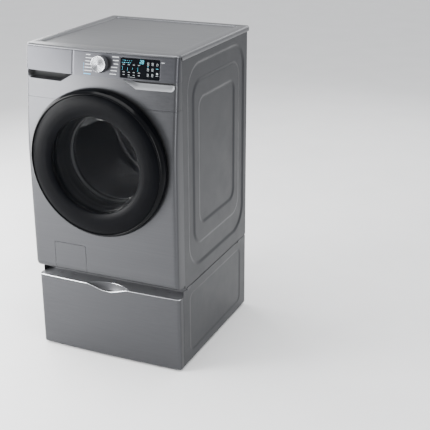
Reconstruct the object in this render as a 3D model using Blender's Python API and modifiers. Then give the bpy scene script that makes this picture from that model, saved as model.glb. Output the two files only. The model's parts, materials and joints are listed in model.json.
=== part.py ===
"""Front load washing machine on its drawer pedestal, as an assembly of separate parts.

Metres, +Z up. The machine faces -Y and stands on Z = 0, with X = 0 on its middle plane.
The turning parts (drum, tub, door) share one axis along Y at the height AXIS_Z.
"""
import math

import bmesh
import bpy
from mathutils import Matrix, Vector

# ---- driving dimensions -----------------------------------------------------------------
WIDTH = 0.686            # over the lid
HALF = 0.341             # half width of the cabinet
TOP = 1.343              # top of the lid
BACK = 0.400             # back edge of the lid
FRONT = -0.355           # front reference plane of the washer
DOOR_FRONT = -0.400      # foremost point of the door glass
SHEET = 0.002            # sheet metal, with its folds, as one thickness
GAP = 0.0005             # between neighbouring pieces
AXIS_Z = 0.890           # drum, tub and door centre

LEAN_FROM = 0.760        # above this height the front leans back
LEAN = 0.030             # how far back it is at the top
BOW = 0.016              # how much further back its side edges are than its middle
BOW_FROM, BOW_TO = 0.900, 1.200   # the bow grows between these heights
CORNER = 0.016           # rounding of the upright edges
WRAP_Y = -0.2873         # the front panels' side returns end here
TUCK = 0.030             # rounding under the lower edge

PED_TOP = 0.3605         # top of the pedestal, which the washer stands on
SHELF = 0.3375           # ledge in front of the washer
LIP = 0.3385             # top edge of the pedestal's drawer front
PED_FRONT = -0.345       # its foremost line
PED_BOW = 0.0075
PED_OPEN_Y = -0.300      # front edge of the pedestal's cabinet
PED_BACK = 0.375

SEAM = 1.133             # between the lower and upper front panels
BAND_LOW = 1.2405        # lower edge of the control panel
BAND_TOP = 1.3340
BAND_ROWS = (BAND_LOW, BAND_LOW + 0.003, 1.272, 1.304, BAND_TOP)
BAND_PROUD = 0.002       # how far the control panel stands out of the front surface
RECESS_LOW = 1.2070      # floor of the two finger recesses
LOW_EDGE = 0.383         # lower edge of the front panel

DOOR_R = 0.308
DOOR_FACE_R = 0.2925
MOUTH_R = 0.212          # hole in the front panel
HINGE = Vector((-0.302, -0.368, AXIS_Z))

TUB_R = 0.296
TUB_WALL = 0.005
TUB_FRONT_Y = -0.250
TUB_SEAM_Y = -0.030
TUB_BACK_Y = 0.286
DRUM_R = 0.275
DRUM_FRONT_Y = -0.232
DRUM_BACK_Y = 0.255
DRUM_MOUTH_R = 0.188

TURNS = 36               # steps round the large turned parts

DIAL = Vector((0.017, 0.0, 1.2917))
DRAWER_SPLIT = -0.112    # joint between the detergent drawer's front and the control panel
FILTER_X = (-0.237, -0.088)
FILTER_Z = (0.390, 0.513)
FILTER_AXIS = Vector((-0.1625, -0.330, 0.452))
FEET_X = 0.300
FEET_Y = {"front": -0.262, "rear": 0.335}

parts = bpy.data.collections.new("front_load_washer")
cutters = bpy.data.collections.new("cutters")


# ---- scene and materials ----------------------------------------------------------------
def clear_scene():
    for obj in list(bpy.data.objects):
        bpy.data.objects.remove(obj, do_unlink=True)
    for collection in (parts, cutters):
        bpy.context.scene.collection.children.link(collection)


def material(name, colour, roughness, metallic=0.0, transmission=0.0):
    mat = bpy.data.materials.new(name)
    mat.use_nodes = True
    shader = mat.node_tree.nodes["Principled BSDF"]
    shader.inputs["Base Color"].default_value = (*colour, 1.0)
    shader.inputs["Roughness"].default_value = roughness
    shader.inputs["Metallic"].default_value = metallic
    shader.inputs["Transmission Weight"].default_value = transmission
    return mat


BRUSHED = material("brushed_platinum", (0.42, 0.43, 0.45), 0.35, 1.0)
PAINTED = material("painted_grey", (0.24, 0.245, 0.26), 0.45, 0.4)
PANEL = material("panel_grey", (0.33, 0.34, 0.37), 0.38, 0.8)
SHADOW = material("dark_grey_plastic", (0.06, 0.062, 0.068), 0.5)
BLACK = material("gloss_black", (0.006, 0.007, 0.009), 0.08)
TINTED = material("tinted_cover", (0.02, 0.022, 0.026), 0.05, 0.0, 0.6)
GLASS = material("clear_glass", (0.75, 0.78, 0.78), 0.03, 0.0, 0.9)
CHROME = material("dial_metal", (0.75, 0.76, 0.78), 0.18, 1.0)
STEEL = material("stainless", (0.62, 0.62, 0.63), 0.25, 1.0)
ZINC = material("zinc_steel", (0.55, 0.56, 0.57), 0.4, 1.0)
RUBBER = material("grey_rubber", (0.11, 0.115, 0.12), 0.6)
TUB = material("tub_plastic", (0.55, 0.56, 0.57), 0.55)
WHITE = material("white_plastic", (0.75, 0.76, 0.77), 0.45)
IRON = material("cast_weight", (0.16, 0.16, 0.165), 0.75, 0.3)
COPPER = material("stator_windings", (0.48, 0.22, 0.10), 0.4, 0.8)


# ---- modelling helpers ------------------------------------------------------------------
def add(obj, name, mat):
    """Names the object and puts it in its collection. A shape with no material is a cutter."""
    obj.name = name
    obj.data.name = name
    if mat:
        parts.objects.link(obj)
        obj.data.materials.append(mat)
    else:
        cutters.objects.link(obj)
        obj.hide_render = True
        obj.display_type = "WIRE"
    return obj


def from_bmesh(bm, name, mat):
    bmesh.ops.recalc_face_normals(bm, faces=bm.faces)
    mesh = bpy.data.meshes.new(name)
    bm.to_mesh(mesh)
    bm.free()
    return add(bpy.data.objects.new(name, mesh), name, mat)


def box(name, low, high, mat=None, bevel=0.0):
    """A box between two corners."""
    low, high = Vector(low), Vector(high)
    bm = bmesh.new()
    bmesh.ops.create_cube(bm, size=1.0)
    bmesh.ops.scale(bm, vec=high - low, verts=bm.verts)
    obj = from_bmesh(bm, name, mat)
    obj.location = (low + high) / 2
    if bevel:
        mod = obj.modifiers.new("rounded", "BEVEL")
        mod.width, mod.segments = bevel, 2
    return obj


def cylinder(name, centre, radius, length, mat=None, axis="Z", segments=20):
    """A cylinder round its centre, along X, Y or Z."""
    bm = bmesh.new()
    bmesh.ops.create_cone(
        bm, cap_ends=True, segments=segments, radius1=radius, radius2=radius, depth=length,
    )
    turn = {"X": Matrix.Rotation(math.pi / 2, 3, "Y"), "Y": Matrix.Rotation(math.pi / 2, 3, "X")}
    if axis in turn:
        bmesh.ops.rotate(bm, cent=(0, 0, 0), matrix=turn[axis], verts=bm.verts)
    obj = from_bmesh(bm, name, mat)
    obj.location = centre
    obj.data.set_sharp_from_angle(angle=math.radians(40))
    return obj


def turned_about_z(name, profile, mat, steps):
    """Turns a profile of (radius, height) points about the object's own Z.

    A profile that starts and ends at radius 0 makes a solid disc or bowl, and any other one is
    closed into a ring. Its outer side has to run downwards, so it is reversed where it doesn't.
    """
    around = list(zip(profile, profile[1:] + profile[:1]))
    if sum(a[0] * b[1] - b[0] * a[1] for a, b in around) > 0:
        profile = profile[::-1]
    bm = bmesh.new()
    verts = [bm.verts.new((radius, 0, height)) for radius, height in profile]
    pairs = list(zip(verts, verts[1:]))
    if profile[0][0] > 0:
        pairs.append((verts[-1], verts[0]))
    for pair in pairs:
        bm.edges.new(pair)
    mesh = bpy.data.meshes.new(name)
    bm.to_mesh(mesh)
    bm.free()
    obj = add(bpy.data.objects.new(name, mesh), name, mat)
    mod = obj.modifiers.new("turned", "SCREW")
    mod.steps = mod.render_steps = steps
    mod.use_merge_vertices = True
    mod.merge_threshold = 0.00001
    mod.use_smooth_shade = True
    return obj


def turned(name, profile, mat, steps=TURNS, x=0.0, z=AXIS_Z):
    """Turns a profile of (radius, y) points about an axis along Y, by laying own Z along -Y."""
    obj = turned_about_z(name, [(radius, -y) for radius, y in profile], mat, steps)
    obj.location = (x, 0, z)
    obj.rotation_euler = (math.pi / 2, 0, 0)
    return obj


def flat(name, outline, low, high, mat=None, axis="Z"):
    """Extrudes a flat outline between two values along an axis.

    Outline points are (x, y) for Z, (x, z) for Y and (y, z) for X.
    """
    place = {
        "Z": lambda a, b, t: (a, b, t),
        "Y": lambda a, b, t: (a, t, b),
        "X": lambda a, b, t: (t, a, b),
    }[axis]
    bm = bmesh.new()
    face = bm.faces.new([bm.verts.new(place(a, b, low)) for a, b in outline])
    grown = bmesh.ops.extrude_face_region(bm, geom=[face])
    moved = [item for item in grown["geom"] if isinstance(item, bmesh.types.BMVert)]
    bmesh.ops.translate(bm, verts=moved, vec=Vector(place(0, 0, high - low)))
    return from_bmesh(bm, name, mat)


def baked(obj):
    """Turns an object's evaluated shape into its own mesh, with no modifiers left."""
    bpy.context.view_layer.update()
    graph = bpy.context.evaluated_depsgraph_get()
    mesh = bpy.data.meshes.new_from_object(obj.evaluated_get(graph))
    obj.modifiers.clear()
    obj.data = mesh
    return obj


def combine(obj, other, operation):
    """Joins or cuts an object with a shape from among the cutters."""
    mod = obj.modifiers.new(operation.lower(), "BOOLEAN")
    mod.operation = operation
    mod.object = other
    mod.solver = "EXACT"
    return obj


def cut(obj, *others):
    for other in others:
        combine(obj, other, "DIFFERENCE")
    return obj


def join(obj, *others):
    for other in others:
        combine(obj, other, "UNION")
    return obj


def tube(name, points, radius, mat, resolution=2):
    """A round rod along a list of points, as a closed mesh."""
    curve = bpy.data.curves.new(name, "CURVE")
    curve.dimensions = "3D"
    curve.bevel_depth = radius
    curve.bevel_resolution = resolution
    curve.use_fill_caps = True
    spline = curve.splines.new("POLY")
    spline.points.add(len(points) - 1)
    for point, place in zip(spline.points, points):
        point.co = (*place, 1.0)
    guide = bpy.data.objects.new(name + "_path", curve)
    parts.objects.link(guide)
    bpy.context.view_layer.update()
    graph = bpy.context.evaluated_depsgraph_get()
    mesh = bpy.data.meshes.new_from_object(guide.evaluated_get(graph))
    obj = bpy.data.objects.new(name, mesh)
    obj.matrix_world = guide.matrix_world
    bpy.data.objects.remove(guide, do_unlink=True)
    bm = bmesh.new()
    bm.from_mesh(mesh)
    bmesh.ops.remove_doubles(bm, verts=bm.verts, dist=0.00001)
    bmesh.ops.recalc_face_normals(bm, faces=bm.faces)
    bm.to_mesh(mesh)
    bm.free()
    return add(obj, name, mat)


def arc(cx, cy, radius, start, end, steps):
    """Points on an arc, with angles in degrees."""
    angles = [math.radians(start + (end - start) * i / steps) for i in range(steps + 1)]
    return [(cx + radius * math.cos(a), cy + radius * math.sin(a)) for a in angles]


def rounded_rect(low_a, high_a, low_b, high_b, radius, steps=4):
    """A rectangle's outline with round corners."""
    return (
        arc(high_a - radius, high_b - radius, radius, 0, 90, steps)
        + arc(low_a + radius, high_b - radius, radius, 90, 180, steps)
        + arc(low_a + radius, low_b + radius, radius, 180, 270, steps)
        + arc(high_a - radius, low_b + radius, radius, 270, 360, steps)
    )


# ---- the washer's curved front ----------------------------------------------------------
def front_y(x, z):
    """The washer's front surface: upright below, leaning back and bowed above."""
    share = max(0.0, (z - LEAN_FROM) / (TOP - LEAN_FROM))
    grown = min(1.0, max(0.0, (z - BOW_FROM) / (BOW_TO - BOW_FROM)))
    y = FRONT + LEAN * share ** 4 + BOW * grown ** 2 * (3 - 2 * grown) * (x / HALF) ** 2
    below = LOW_EDGE + 0.027 - z
    if below > 0:
        y += TUCK - math.sqrt(max(0.0, TUCK ** 2 - below ** 2))
    return y


def pedestal_y(x):
    """The pedestal drawer's front surface."""
    return PED_FRONT + PED_BOW * (x / HALF) ** 2


def skin(name, columns, rows, place, mat, thickness=SHEET):
    """A sheet over a grid of (column, row) points, thickened away from its outer face."""
    count_u, count_v = len(columns), len(rows)
    bm = bmesh.new()
    bmesh.ops.create_grid(bm, x_segments=count_u - 1, y_segments=count_v - 1, size=1.0)
    for vert in bm.verts:
        i = round((vert.co.x + 1) / 2 * (count_u - 1))
        j = round((vert.co.y + 1) / 2 * (count_v - 1))
        vert.co = place(columns[i], rows[j])
    mesh = bpy.data.meshes.new(name)
    bm.to_mesh(mesh)
    bm.free()
    obj = add(bpy.data.objects.new(name, mesh), name, mat)
    obj.data.shade_smooth()
    mod = obj.modifiers.new("sheet", "SOLIDIFY")
    mod.thickness = thickness
    mod.offset = -1
    mod.use_even_offset = True
    return obj


def plan_columns(x_from, x_to, wrap_left, wrap_right, radius, faces=8):
    """Columns across a front: ("side", sign), ("corner", sign, angle) or ("face", x)."""
    left = -HALF + radius if wrap_left else x_from
    right = HALF - radius if wrap_right else x_to
    columns = []
    if wrap_left:
        columns += [("side", -1)] + [("corner", -1, a) for a in (90, 67.5, 45, 22.5)]
    columns += [("face", left + (right - left) * i / faces) for i in range(faces + 1)]
    if wrap_right:
        columns += [("corner", 1, a) for a in (22.5, 45, 67.5, 90)] + [("side", 1)]
    return columns


def plan_point(column, surface, radius, back, half=HALF):
    """The (x, y) of a column, for a front surface given as y = surface(x)."""
    if column[0] == "face":
        return column[1], surface(column[1])
    sign = column[1]
    centre_x = sign * (half - radius)
    centre_y = surface(centre_x) + radius
    if column[0] == "side":
        return sign * half, back
    angle = math.radians(column[2])
    return centre_x + sign * radius * math.sin(angle), centre_y - radius * math.cos(angle)


def front_skin(name, x_from, x_to, rows, wrap_left, wrap_right, mat, proud=0.0, thickness=SHEET, faces=8):
    """A panel on the washer's front surface, from row to row of heights."""
    def place(column, z):
        x, y = plan_point(column, lambda x: front_y(x, z) - proud, CORNER, WRAP_Y)
        return x, y, z
    columns = plan_columns(x_from, x_to, wrap_left, wrap_right, CORNER, faces)
    return skin(name, columns, rows, place, mat, thickness)


# ---- pedestal ---------------------------------------------------------------------------
def pedestal():
    side, floor_z = 0.339, 0.010
    cabinet = box("pedestal_cabinet", (-side, PED_OPEN_Y, floor_z), (side, PED_BACK, PED_TOP), PAINTED)
    cut(cabinet, box("cabinet_inside", (-side + SHEET, PED_OPEN_Y - 0.1, floor_z + SHEET),
                     (side - SHEET, PED_BACK - SHEET, PED_TOP + 0.1)))

    step_y, thick, wide, radius = -0.262, 0.004, 0.3355, 0.016
    shelf_front = PED_FRONT + PED_BOW + 0.004
    plan = arc(-wide + radius, shelf_front + radius, radius, 180, 270, 4)
    plan += arc(wide - radius, shelf_front + radius, radius, 270, 360, 4)
    plan += [(wide, step_y + thick), (-wide, step_y + thick)]
    top = flat("pedestal_top", plan, SHELF - thick, SHELF, SHADOW)
    join(top, box("top_step", (-wide, step_y, SHELF - thick), (wide, step_y + thick, PED_TOP)))
    join(top, box("top_plate", (-wide, step_y, PED_TOP - thick), (wide, PED_BACK - 0.003, PED_TOP)))
    # A lens-shaped notch in the ledge is the rear half of the finger pocket.
    pocket_y, half = -0.300, 0.098
    reach = pocket_y - shelf_front
    sweep = (half ** 2 + reach ** 2) / (2 * reach)
    spread = math.degrees(math.asin(half / sweep))
    eye = arc(0, pocket_y - sweep, sweep, 90 - spread, 90 + spread, 12)
    eye += [(-half, shelf_front - 0.02), (half, shelf_front - 0.02)]
    cut(top, flat("pocket_eye", eye, SHELF - 0.02, SHELF + 0.02))
    for index, (x, y) in enumerate((sign * x, -0.283) for sign in (-1, 1) for x in (0.196, 0.262)):
        low, high = (x - 0.012, y - 0.003, SHELF - 0.01), (x + 0.012, y + 0.003, SHELF + 0.01)
        cut(top, box(f"clip_slot_{index}", low, high))

    for name, sign in (("pedestal_runner_left", -1), ("pedestal_runner_right", 1)):
        web, lip, inner = 0.3365, 0.3225, 0.3335
        channel = [(web, 0.120), (web, 0.156), (lip, 0.156), (lip, 0.153), (inner, 0.153),
                   (inner, 0.123), (lip, 0.123), (lip, 0.120)]
        flat(name, [(sign * x, z) for x, z in channel], -0.285, 0.345, ZINC, axis="Y")

    pad = [(0, 0), (0.020, 0), (0.022, 0.002), (0.022, 0.006), (0.009, 0.0075), (0.009, 0.0095), (0, 0.0095)]
    for row, y in FEET_Y.items():
        for column, sign in (("left", -1), ("right", 1)):
            foot = turned_about_z(f"pedestal_foot_{row}_{column}", pad, RUBBER, 16)
            foot.location = (sign * FEET_X, y, 0)


def pedestal_drawer():
    radius, half = 0.014, 0.339
    rows = [0.008, 0.012, 0.120, 0.230, LIP]

    def place(column, z):
        tuck = 0.004 if z == rows[0] else 0.0
        x, y = plan_point(column, lambda x: pedestal_y(x) + tuck, radius, PED_OPEN_Y - 0.0022, half)
        return x, y, z
    columns = plan_columns(0, 0, True, True, radius, 10)
    columns = [(c[0], c[1] * half / HALF) if c[0] == "face" else c for c in columns]
    front = skin("pedestal_drawer_front", columns, rows, place, BRUSHED, 0.0025)

    dip, reach = 0.0215, 0.105
    swoop = []
    steps = 16
    for i in range(steps + 1):
        t = -1 + 2 * i / steps
        swoop.append((reach * t, LIP - dip * (0.5 + 0.5 * math.cos(math.pi * t)) ** 0.8))
    swoop += [(reach, LIP + 0.02), (-reach, LIP + 0.02)]
    cut(front, flat("swoop", swoop, -0.40, -0.30, axis="Y"))

    side, wall = 0.318, 0.0025
    low, high, y0, y1 = 0.028, 0.262, -0.2995, 0.345
    tray = box("pedestal_drawer_box", (-side, y0, low), (side, y1, high), ZINC)
    inside_low, inside_high = (-side + wall, y0 + wall, low + wall), (side - wall, y1 - wall, high + 0.1)
    cut(tray, box("drawer_inside", inside_low, inside_high))
    join(tray, box("drawer_flange", (-0.334, y0 - 0.0015, 0.014), (0.334, y0 + 0.0012, 0.326)))
    for name, sign in (("drawer_slide_left", -1), ("drawer_slide_right", 1)):
        inner, outer = sorted((sign * (side - 0.001), sign * 0.3315))
        join(tray, box(name, (inner, -0.27, 0.128), (outer, 0.335, 0.148)))


# ---- washer cabinet ---------------------------------------------------------------------
def cabinet():
    base = box("base_frame", (-0.334, -0.300, 0.384), (0.334, 0.366, 0.398), ZINC)
    for index, (x, y) in enumerate(((-0.28, -0.25), (0.28, -0.25), (-0.28, 0.32), (0.28, 0.32))):
        join(base, cylinder(f"washer_foot_{index}", (x, y, 0.3735), 0.024, 0.025, segments=16))

    for name, sign in (("side_panel_left", -1), ("side_panel_right", 1)):
        inner, outer = sorted((sign * (HALF - SHEET), sign * HALF))
        side = box(name, (inner, WRAP_Y + GAP, 0.367), (outer, 0.3725, 1.3195), PAINTED)
        inner, outer = sorted((sign * 0.300, sign * (HALF - 0.001)))
        join(side, box(name + "_hanger", (inner, 0.010, 1.276), (outer, 0.050, 1.280)))

    rear = box("rear_panel", (-0.3385, 0.3685, 0.399), (0.3385, 0.3705, 1.3195), ZINC)
    cut(rear, box("rear_window", (-0.170, 0.30, 0.640), (0.170, 0.40, 1.100)))
    box("rear_access_cover", (-0.190, 0.3710, 0.620), (0.190, 0.3765, 1.120), PAINTED, bevel=0.002)

    lower_rows = [LOW_EDGE, 0.387, 0.394, 0.410, BOW_FROM, 0.960, 1.020, 1.080, SEAM - 0.0003]
    lower = front_skin("front_panel_lower", 0, 0, lower_rows, True, True, BRUSHED)
    cut(lower, cylinder("mouth", (0, FRONT, AXIS_Z), MOUTH_R, 0.08, axis="Y", segments=46))
    margin = 0.0012
    sides = (FILTER_X[0] - margin, FILTER_X[1] + margin, FILTER_Z[0] - margin, FILTER_Z[1] + margin)
    opening = rounded_rect(*sides, 0.008)
    cut(lower, flat("filter_opening", opening, -0.37, -0.32, axis="Y"))
    cut(lower, box("hook_slot", (0.243, -0.37, 0.862), (0.267, -0.34, 0.918)))

    upper_rows = [SEAM + 0.0003, 1.185, BAND_LOW - 0.0006]
    upper = front_skin("front_panel_upper", 0, 0, upper_rows, True, True, BRUSHED)
    for index, sign in enumerate((-1, 1)):
        cut(upper, flat(f"recess_{index}", recess_outline(sign), -0.37, -0.29, axis="Y"))

    strip_half, depth = 0.3365, 0.0285
    columns = [strip_half * (-1 + i / 4) for i in range(9)]
    rows = [RECESS_LOW - 0.010, BAND_LOW - 0.0006]
    skin("recess_strip", columns, rows, lambda x, z: (x, front_y(x, z) + depth, z), SHADOW, 0.003)

    control = front_skin("control_panel", DRAWER_SPLIT + 0.0006, 0, BAND_ROWS,
                         False, True, PANEL, proud=BAND_PROUD, thickness=0.003, faces=7)
    cut(control, cylinder("dial_hole", (DIAL.x, -0.33, DIAL.z), 0.008, 0.06, axis="Y", segments=16))
    window = rounded_rect(0.1025, 0.2685, 1.2470, 1.3240, 0.001, 1)
    cut(control, flat("display_hole", window, -0.36, -0.28, axis="Y"))

    def display_place(x, z):
        return x, front_y(x, z) - 0.0026, z
    columns = [0.1035 + 0.041 * i for i in range(5)]
    skin("display_glass", columns, [1.2480, 1.2855, 1.3230], display_place, BLACK, 0.004)
    box("control_board_case", (-0.100, -0.2950, 1.250), (0.300, -0.2550, 1.316), WHITE, bevel=0.003)


def recess_outline(sign):
    """A finger recess seen from the front: slanted at its inner end, round at its outer low corner."""
    outer, low, radius = 0.328, RECESS_LOW, 0.016
    points = [(0.115, BAND_LOW + 0.01), (0.115, BAND_LOW - 0.002), (0.168, low), (outer - radius, low)]
    points += arc(outer - radius, low + radius, radius, -90, 0, 5)[1:]
    points.append((outer, BAND_LOW + 0.01))
    return [(sign * x, z) for x, z in points]


def lid():
    half = WIDTH / 2
    underside, rim, radius = BAND_TOP + 0.0006, 1.3200, 0.022
    count = 8
    front = [(-half + radius + (2 * half - 2 * radius) * i / count) for i in range(count + 1)]
    outline = [(x, front_y(x, TOP) - 0.003) for x in front]
    edge_y = outline[0][1]
    outline += arc(half - radius, edge_y + radius, radius, -90, 0, 5)[1:]
    outline += arc(half - 0.012, BACK - 0.012, 0.012, 0, 90, 3)
    outline += arc(-half + 0.012, BACK - 0.012, 0.012, 90, 180, 3)
    outline += arc(-half + radius, edge_y + radius, radius, 180, 270, 5)[:-1]
    top = flat("lid", outline, rim, TOP, BRUSHED)
    mod = top.modifiers.new("rounded", "BEVEL")
    mod.width, mod.segments, mod.limit_method = 0.006, 3, "ANGLE"
    mod.angle_limit = math.radians(50)
    inner = HALF + GAP
    cut(top, box("lid_under", (-inner, WRAP_Y + 0.0008, rim - 0.02), (inner, 0.396, underside)))
    cut(top, box("lid_front_under", (-0.4, -0.5, rim - 0.02), (0.4, WRAP_Y + 0.001, underside)))
    panel = rounded_rect(-0.298, 0.298, -0.262, 0.360, 0.012)
    cut(top, flat("lid_recess", panel, TOP - 0.003, TOP + 0.02))


# ---- rear and inner services ------------------------------------------------------------
def services():
    valve = box("inlet_valve", (0.195, 0.3710, 1.205), (0.305, 0.3790, 1.265), WHITE)
    for index, x in enumerate((0.222, 0.278)):
        port = cylinder(f"valve_port_{index}", (x, 0.3880, 1.235), 0.0125, 0.022, axis="Y", segments=16)
        join(valve, port)
    inlet = box("power_inlet", (-0.290, 0.3710, 1.215), (-0.230, 0.3770, 1.260), SHADOW)
    join(inlet, cylinder("cord_gland", (-0.260, 0.3820, 1.2375), 0.011, 0.014, axis="Y", segments=16))
    cut(inlet, cylinder("cord_bore", (-0.260, 0.3900, 1.2375), 0.0045, 0.024, axis="Y", segments=12))

    centre = (FILTER_AXIS.x, FILTER_AXIS.z)
    pump = cylinder("drain_pump", (centre[0], -0.1900, centre[1]), 0.042, 0.140, TUB, "Y", 24)
    join(pump, cylinder("pump_inlet", (centre[0] + 0.02, -0.160, 0.500), 0.019, 0.050, segments=16))
    join(pump, cylinder("pump_motor", (centre[0], -0.1000, centre[1]), 0.030, 0.060, axis="Y", segments=20))

    knob = turned("drain_filter", [
        (0, -0.3300), (0.036, -0.3300), (0.038, -0.3280), (0.038, -0.3050), (0.030, -0.3050),
        (0.030, -0.2610), (0, -0.2610),
    ], WHITE, 24, centre[0], centre[1])
    baked(knob)
    grip_low = (centre[0] - 0.026, -0.3415, centre[1] - 0.004)
    join(knob, box("filter_grip", grip_low, (centre[0] + 0.026, -0.3290, centre[1] + 0.004)))

    rows = [FILTER_Z[0], 0.394, 0.400, 0.410, FILTER_Z[1]]
    columns = [FILTER_X[0] + (FILTER_X[1] - FILTER_X[0]) * i / 2 for i in range(3)]
    cover = skin("filter_door", columns, rows, lambda x, z: (x, front_y(x, z), z), BRUSHED, 0.0022)
    outline = rounded_rect(*FILTER_X, *FILTER_Z, 0.007)
    combine(cover, flat("filter_outline", outline, -0.37, -0.32, axis="Y"), "INTERSECT")

    for name, sign in (("damper_left", -1), ("damper_right", 1)):
        x = sign * 0.190
        body = cylinder(name, (x, 0.020, 0.4700), 0.019, 0.142, SHADOW, segments=16)
        cut(body, cylinder(name + "_bore", (x, 0.020, 0.4900), 0.0150, 0.150, segments=16))
        cylinder(f"damper_rod_{name[7:]}", (x, 0.020, 0.5385), 0.0070, 0.2090, ZINC, segments=12)

    hose = [
        (-0.060, -0.150, 0.592), (-0.062, -0.150, 0.575), (-0.075, -0.152, 0.558), (-0.100, -0.156, 0.548),
        (-0.130, -0.159, 0.551), (-0.1425, -0.160, 0.541), (-0.1425, -0.160, 0.5270),
    ]
    tube("sump_hose", hose, 0.017, RUBBER)


def suspension_springs():
    """Two coil springs, which hang the tub from the side panels."""
    turns, radius, low, high = 5, 0.0085, 1.018, 1.272
    per_turn = 6
    for name, sign in (("spring_left", -1), ("spring_right", 1)):
        count = turns * per_turn
        cx = sign * 0.3135
        coil = [(cx, 0.030, low - 0.010)]
        for i in range(count + 1):
            a = 2 * math.pi * i / per_turn
            z = low + (high - low) * i / count
            coil.append((cx + radius * math.sin(a), 0.030 + radius * (1 - math.cos(a)), z))
        tube(name, coil, 0.0019, ZINC, 1)


# ---- tub and drum -----------------------------------------------------------------------
def tub():
    wall = TUB_R - TUB_WALL
    seam = TUB_SEAM_Y
    front = turned("tub_front", [
        (0.1900, TUB_FRONT_Y - 0.014), (0.1900, TUB_FRONT_Y + 0.004), (wall - 0.012, TUB_FRONT_Y + 0.004),
        (wall, TUB_FRONT_Y + 0.020), (wall, seam - GAP), (TUB_R, seam - GAP), (TUB_R, TUB_FRONT_Y + 0.012),
        (TUB_R - 0.010, TUB_FRONT_Y), (0.1950, TUB_FRONT_Y), (0.1950, TUB_FRONT_Y - 0.014),
    ], TUB)
    baked(front)
    rear = turned("tub_rear", [
        (0.0470, TUB_BACK_Y - 0.006), (0.0470, TUB_BACK_Y), (TUB_R - 0.016, TUB_BACK_Y),
        (TUB_R, TUB_BACK_Y - 0.016), (TUB_R, seam), (wall, seam), (wall, TUB_BACK_Y - 0.018),
        (wall - 0.012, TUB_BACK_Y - 0.006),
    ], TUB)
    baked(rear)
    for index, sign in enumerate((-1, 1)):
        inner, outer = sorted((sign * 0.262, sign * 0.325))
        join(rear, box(f"spring_lug_{index}", (inner, 0.008, 0.994), (outer, 0.052, 1.000)))
        x = sign * 0.190
        join(rear, box(f"damper_lug_{index}", (x - 0.014, 0.006, 0.6435), (x + 0.014, 0.034, 0.680)))
    length = TUB_BACK_Y - 0.020 - seam
    centre = (0, seam + length / 2, AXIS_Z)
    cut(rear, cylinder("tub_inside", centre, wall, length + 0.002, axis="Y", segments=TURNS))

    inner, outer, y0, y1 = 0.218, 0.286, TUB_FRONT_Y - 0.024, TUB_FRONT_Y - 0.0008
    for name, start in (("counterweight_upper", 14), ("counterweight_lower", 194)):
        end = start + 152
        outline = arc(0, AXIS_Z, outer, start, end, 18) + arc(0, AXIS_Z, inner, end, start, 18)
        flat(name, outline, y0, y1, IRON, axis="Y")

    turned("drum_bearing", [
        (0.0180, 0.2675), (0.0180, 0.3000), (0.0400, 0.3000), (0.0465, 0.2920), (0.0465, 0.2675),
    ], IRON, 20)
    turned("motor_stator", [
        (0.0560, TUB_BACK_Y + 0.0006), (0.0560, 0.3060), (0.1180, 0.3060), (0.1180, 0.2905),
        (0.0900, TUB_BACK_Y + 0.0006),
    ], COPPER, 28)

    turned("door_gasket", [
        (0.2090, -0.3520), (0.2020, -0.3480), (0.2060, -0.3350), (0.2060, -0.3250),
        (0.1955, -0.3150), (0.2070, -0.3030), (0.2070, -0.2950), (0.1960, -0.2870),
        (0.1960, -0.2650), (0.2000, -0.2650), (0.2000, -0.2840), (0.2105, -0.2920), (0.2105, -0.3060),
        (0.2000, -0.3150), (0.2100, -0.3230), (0.2100, -0.3500),
    ], RUBBER, TURNS)


def drum():
    wall = 0.0015
    back = DRUM_BACK_Y
    mouth = DRUM_FRONT_Y
    turned("drum_basket", [
        (0, back - wall), (DRUM_R - 0.022, back - wall), (DRUM_R - wall, back - 0.022),
        (DRUM_R - wall, mouth + 0.030), (DRUM_R - 0.012, mouth + 0.012), (0.196, mouth + wall),
        (DRUM_MOUTH_R + wall, mouth + 0.007), (DRUM_MOUTH_R, mouth + 0.007), (DRUM_MOUTH_R, mouth),
        (DRUM_R - 0.011, mouth + 0.010), (DRUM_R, mouth + 0.029), (DRUM_R, back - 0.021),
        (DRUM_R - 0.021, back), (0, back),
    ], STEEL)

    spider = turned("drum_spider", [
        (0, back + GAP), (0.042, back + GAP), (0.042, 0.2640), (0.0175, 0.2650), (0.0175, 0.3270),
        (0, 0.3270),
    ], ZINC, 24)
    baked(spider)
    arm_low, arm_high, middle = back + 0.0007, 0.2668, 0.1325
    for index in range(3):
        angle = math.radians(90 + 120 * index)
        arm = box(f"spider_arm_{index}", (0.030, arm_low, -0.018), (0.235, arm_high, 0.018))
        arm.location = (middle * math.cos(angle), (arm_low + arm_high) / 2, AXIS_Z + middle * math.sin(angle))
        arm.rotation_euler = (0, -angle, 0)
        join(spider, arm)

    for index in range(3):
        lifter(f"drum_lifter_{index + 1}", math.radians(40 + 120 * index))

    turned("motor_rotor", [
        (0.0180, 0.3160), (0.0180, 0.3230), (0.1300, 0.3230), (0.1330, 0.3200), (0.1330, 0.2900),
        (0.1250, 0.2900), (0.1250, 0.3160),
    ], ZINC, 28)


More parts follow.
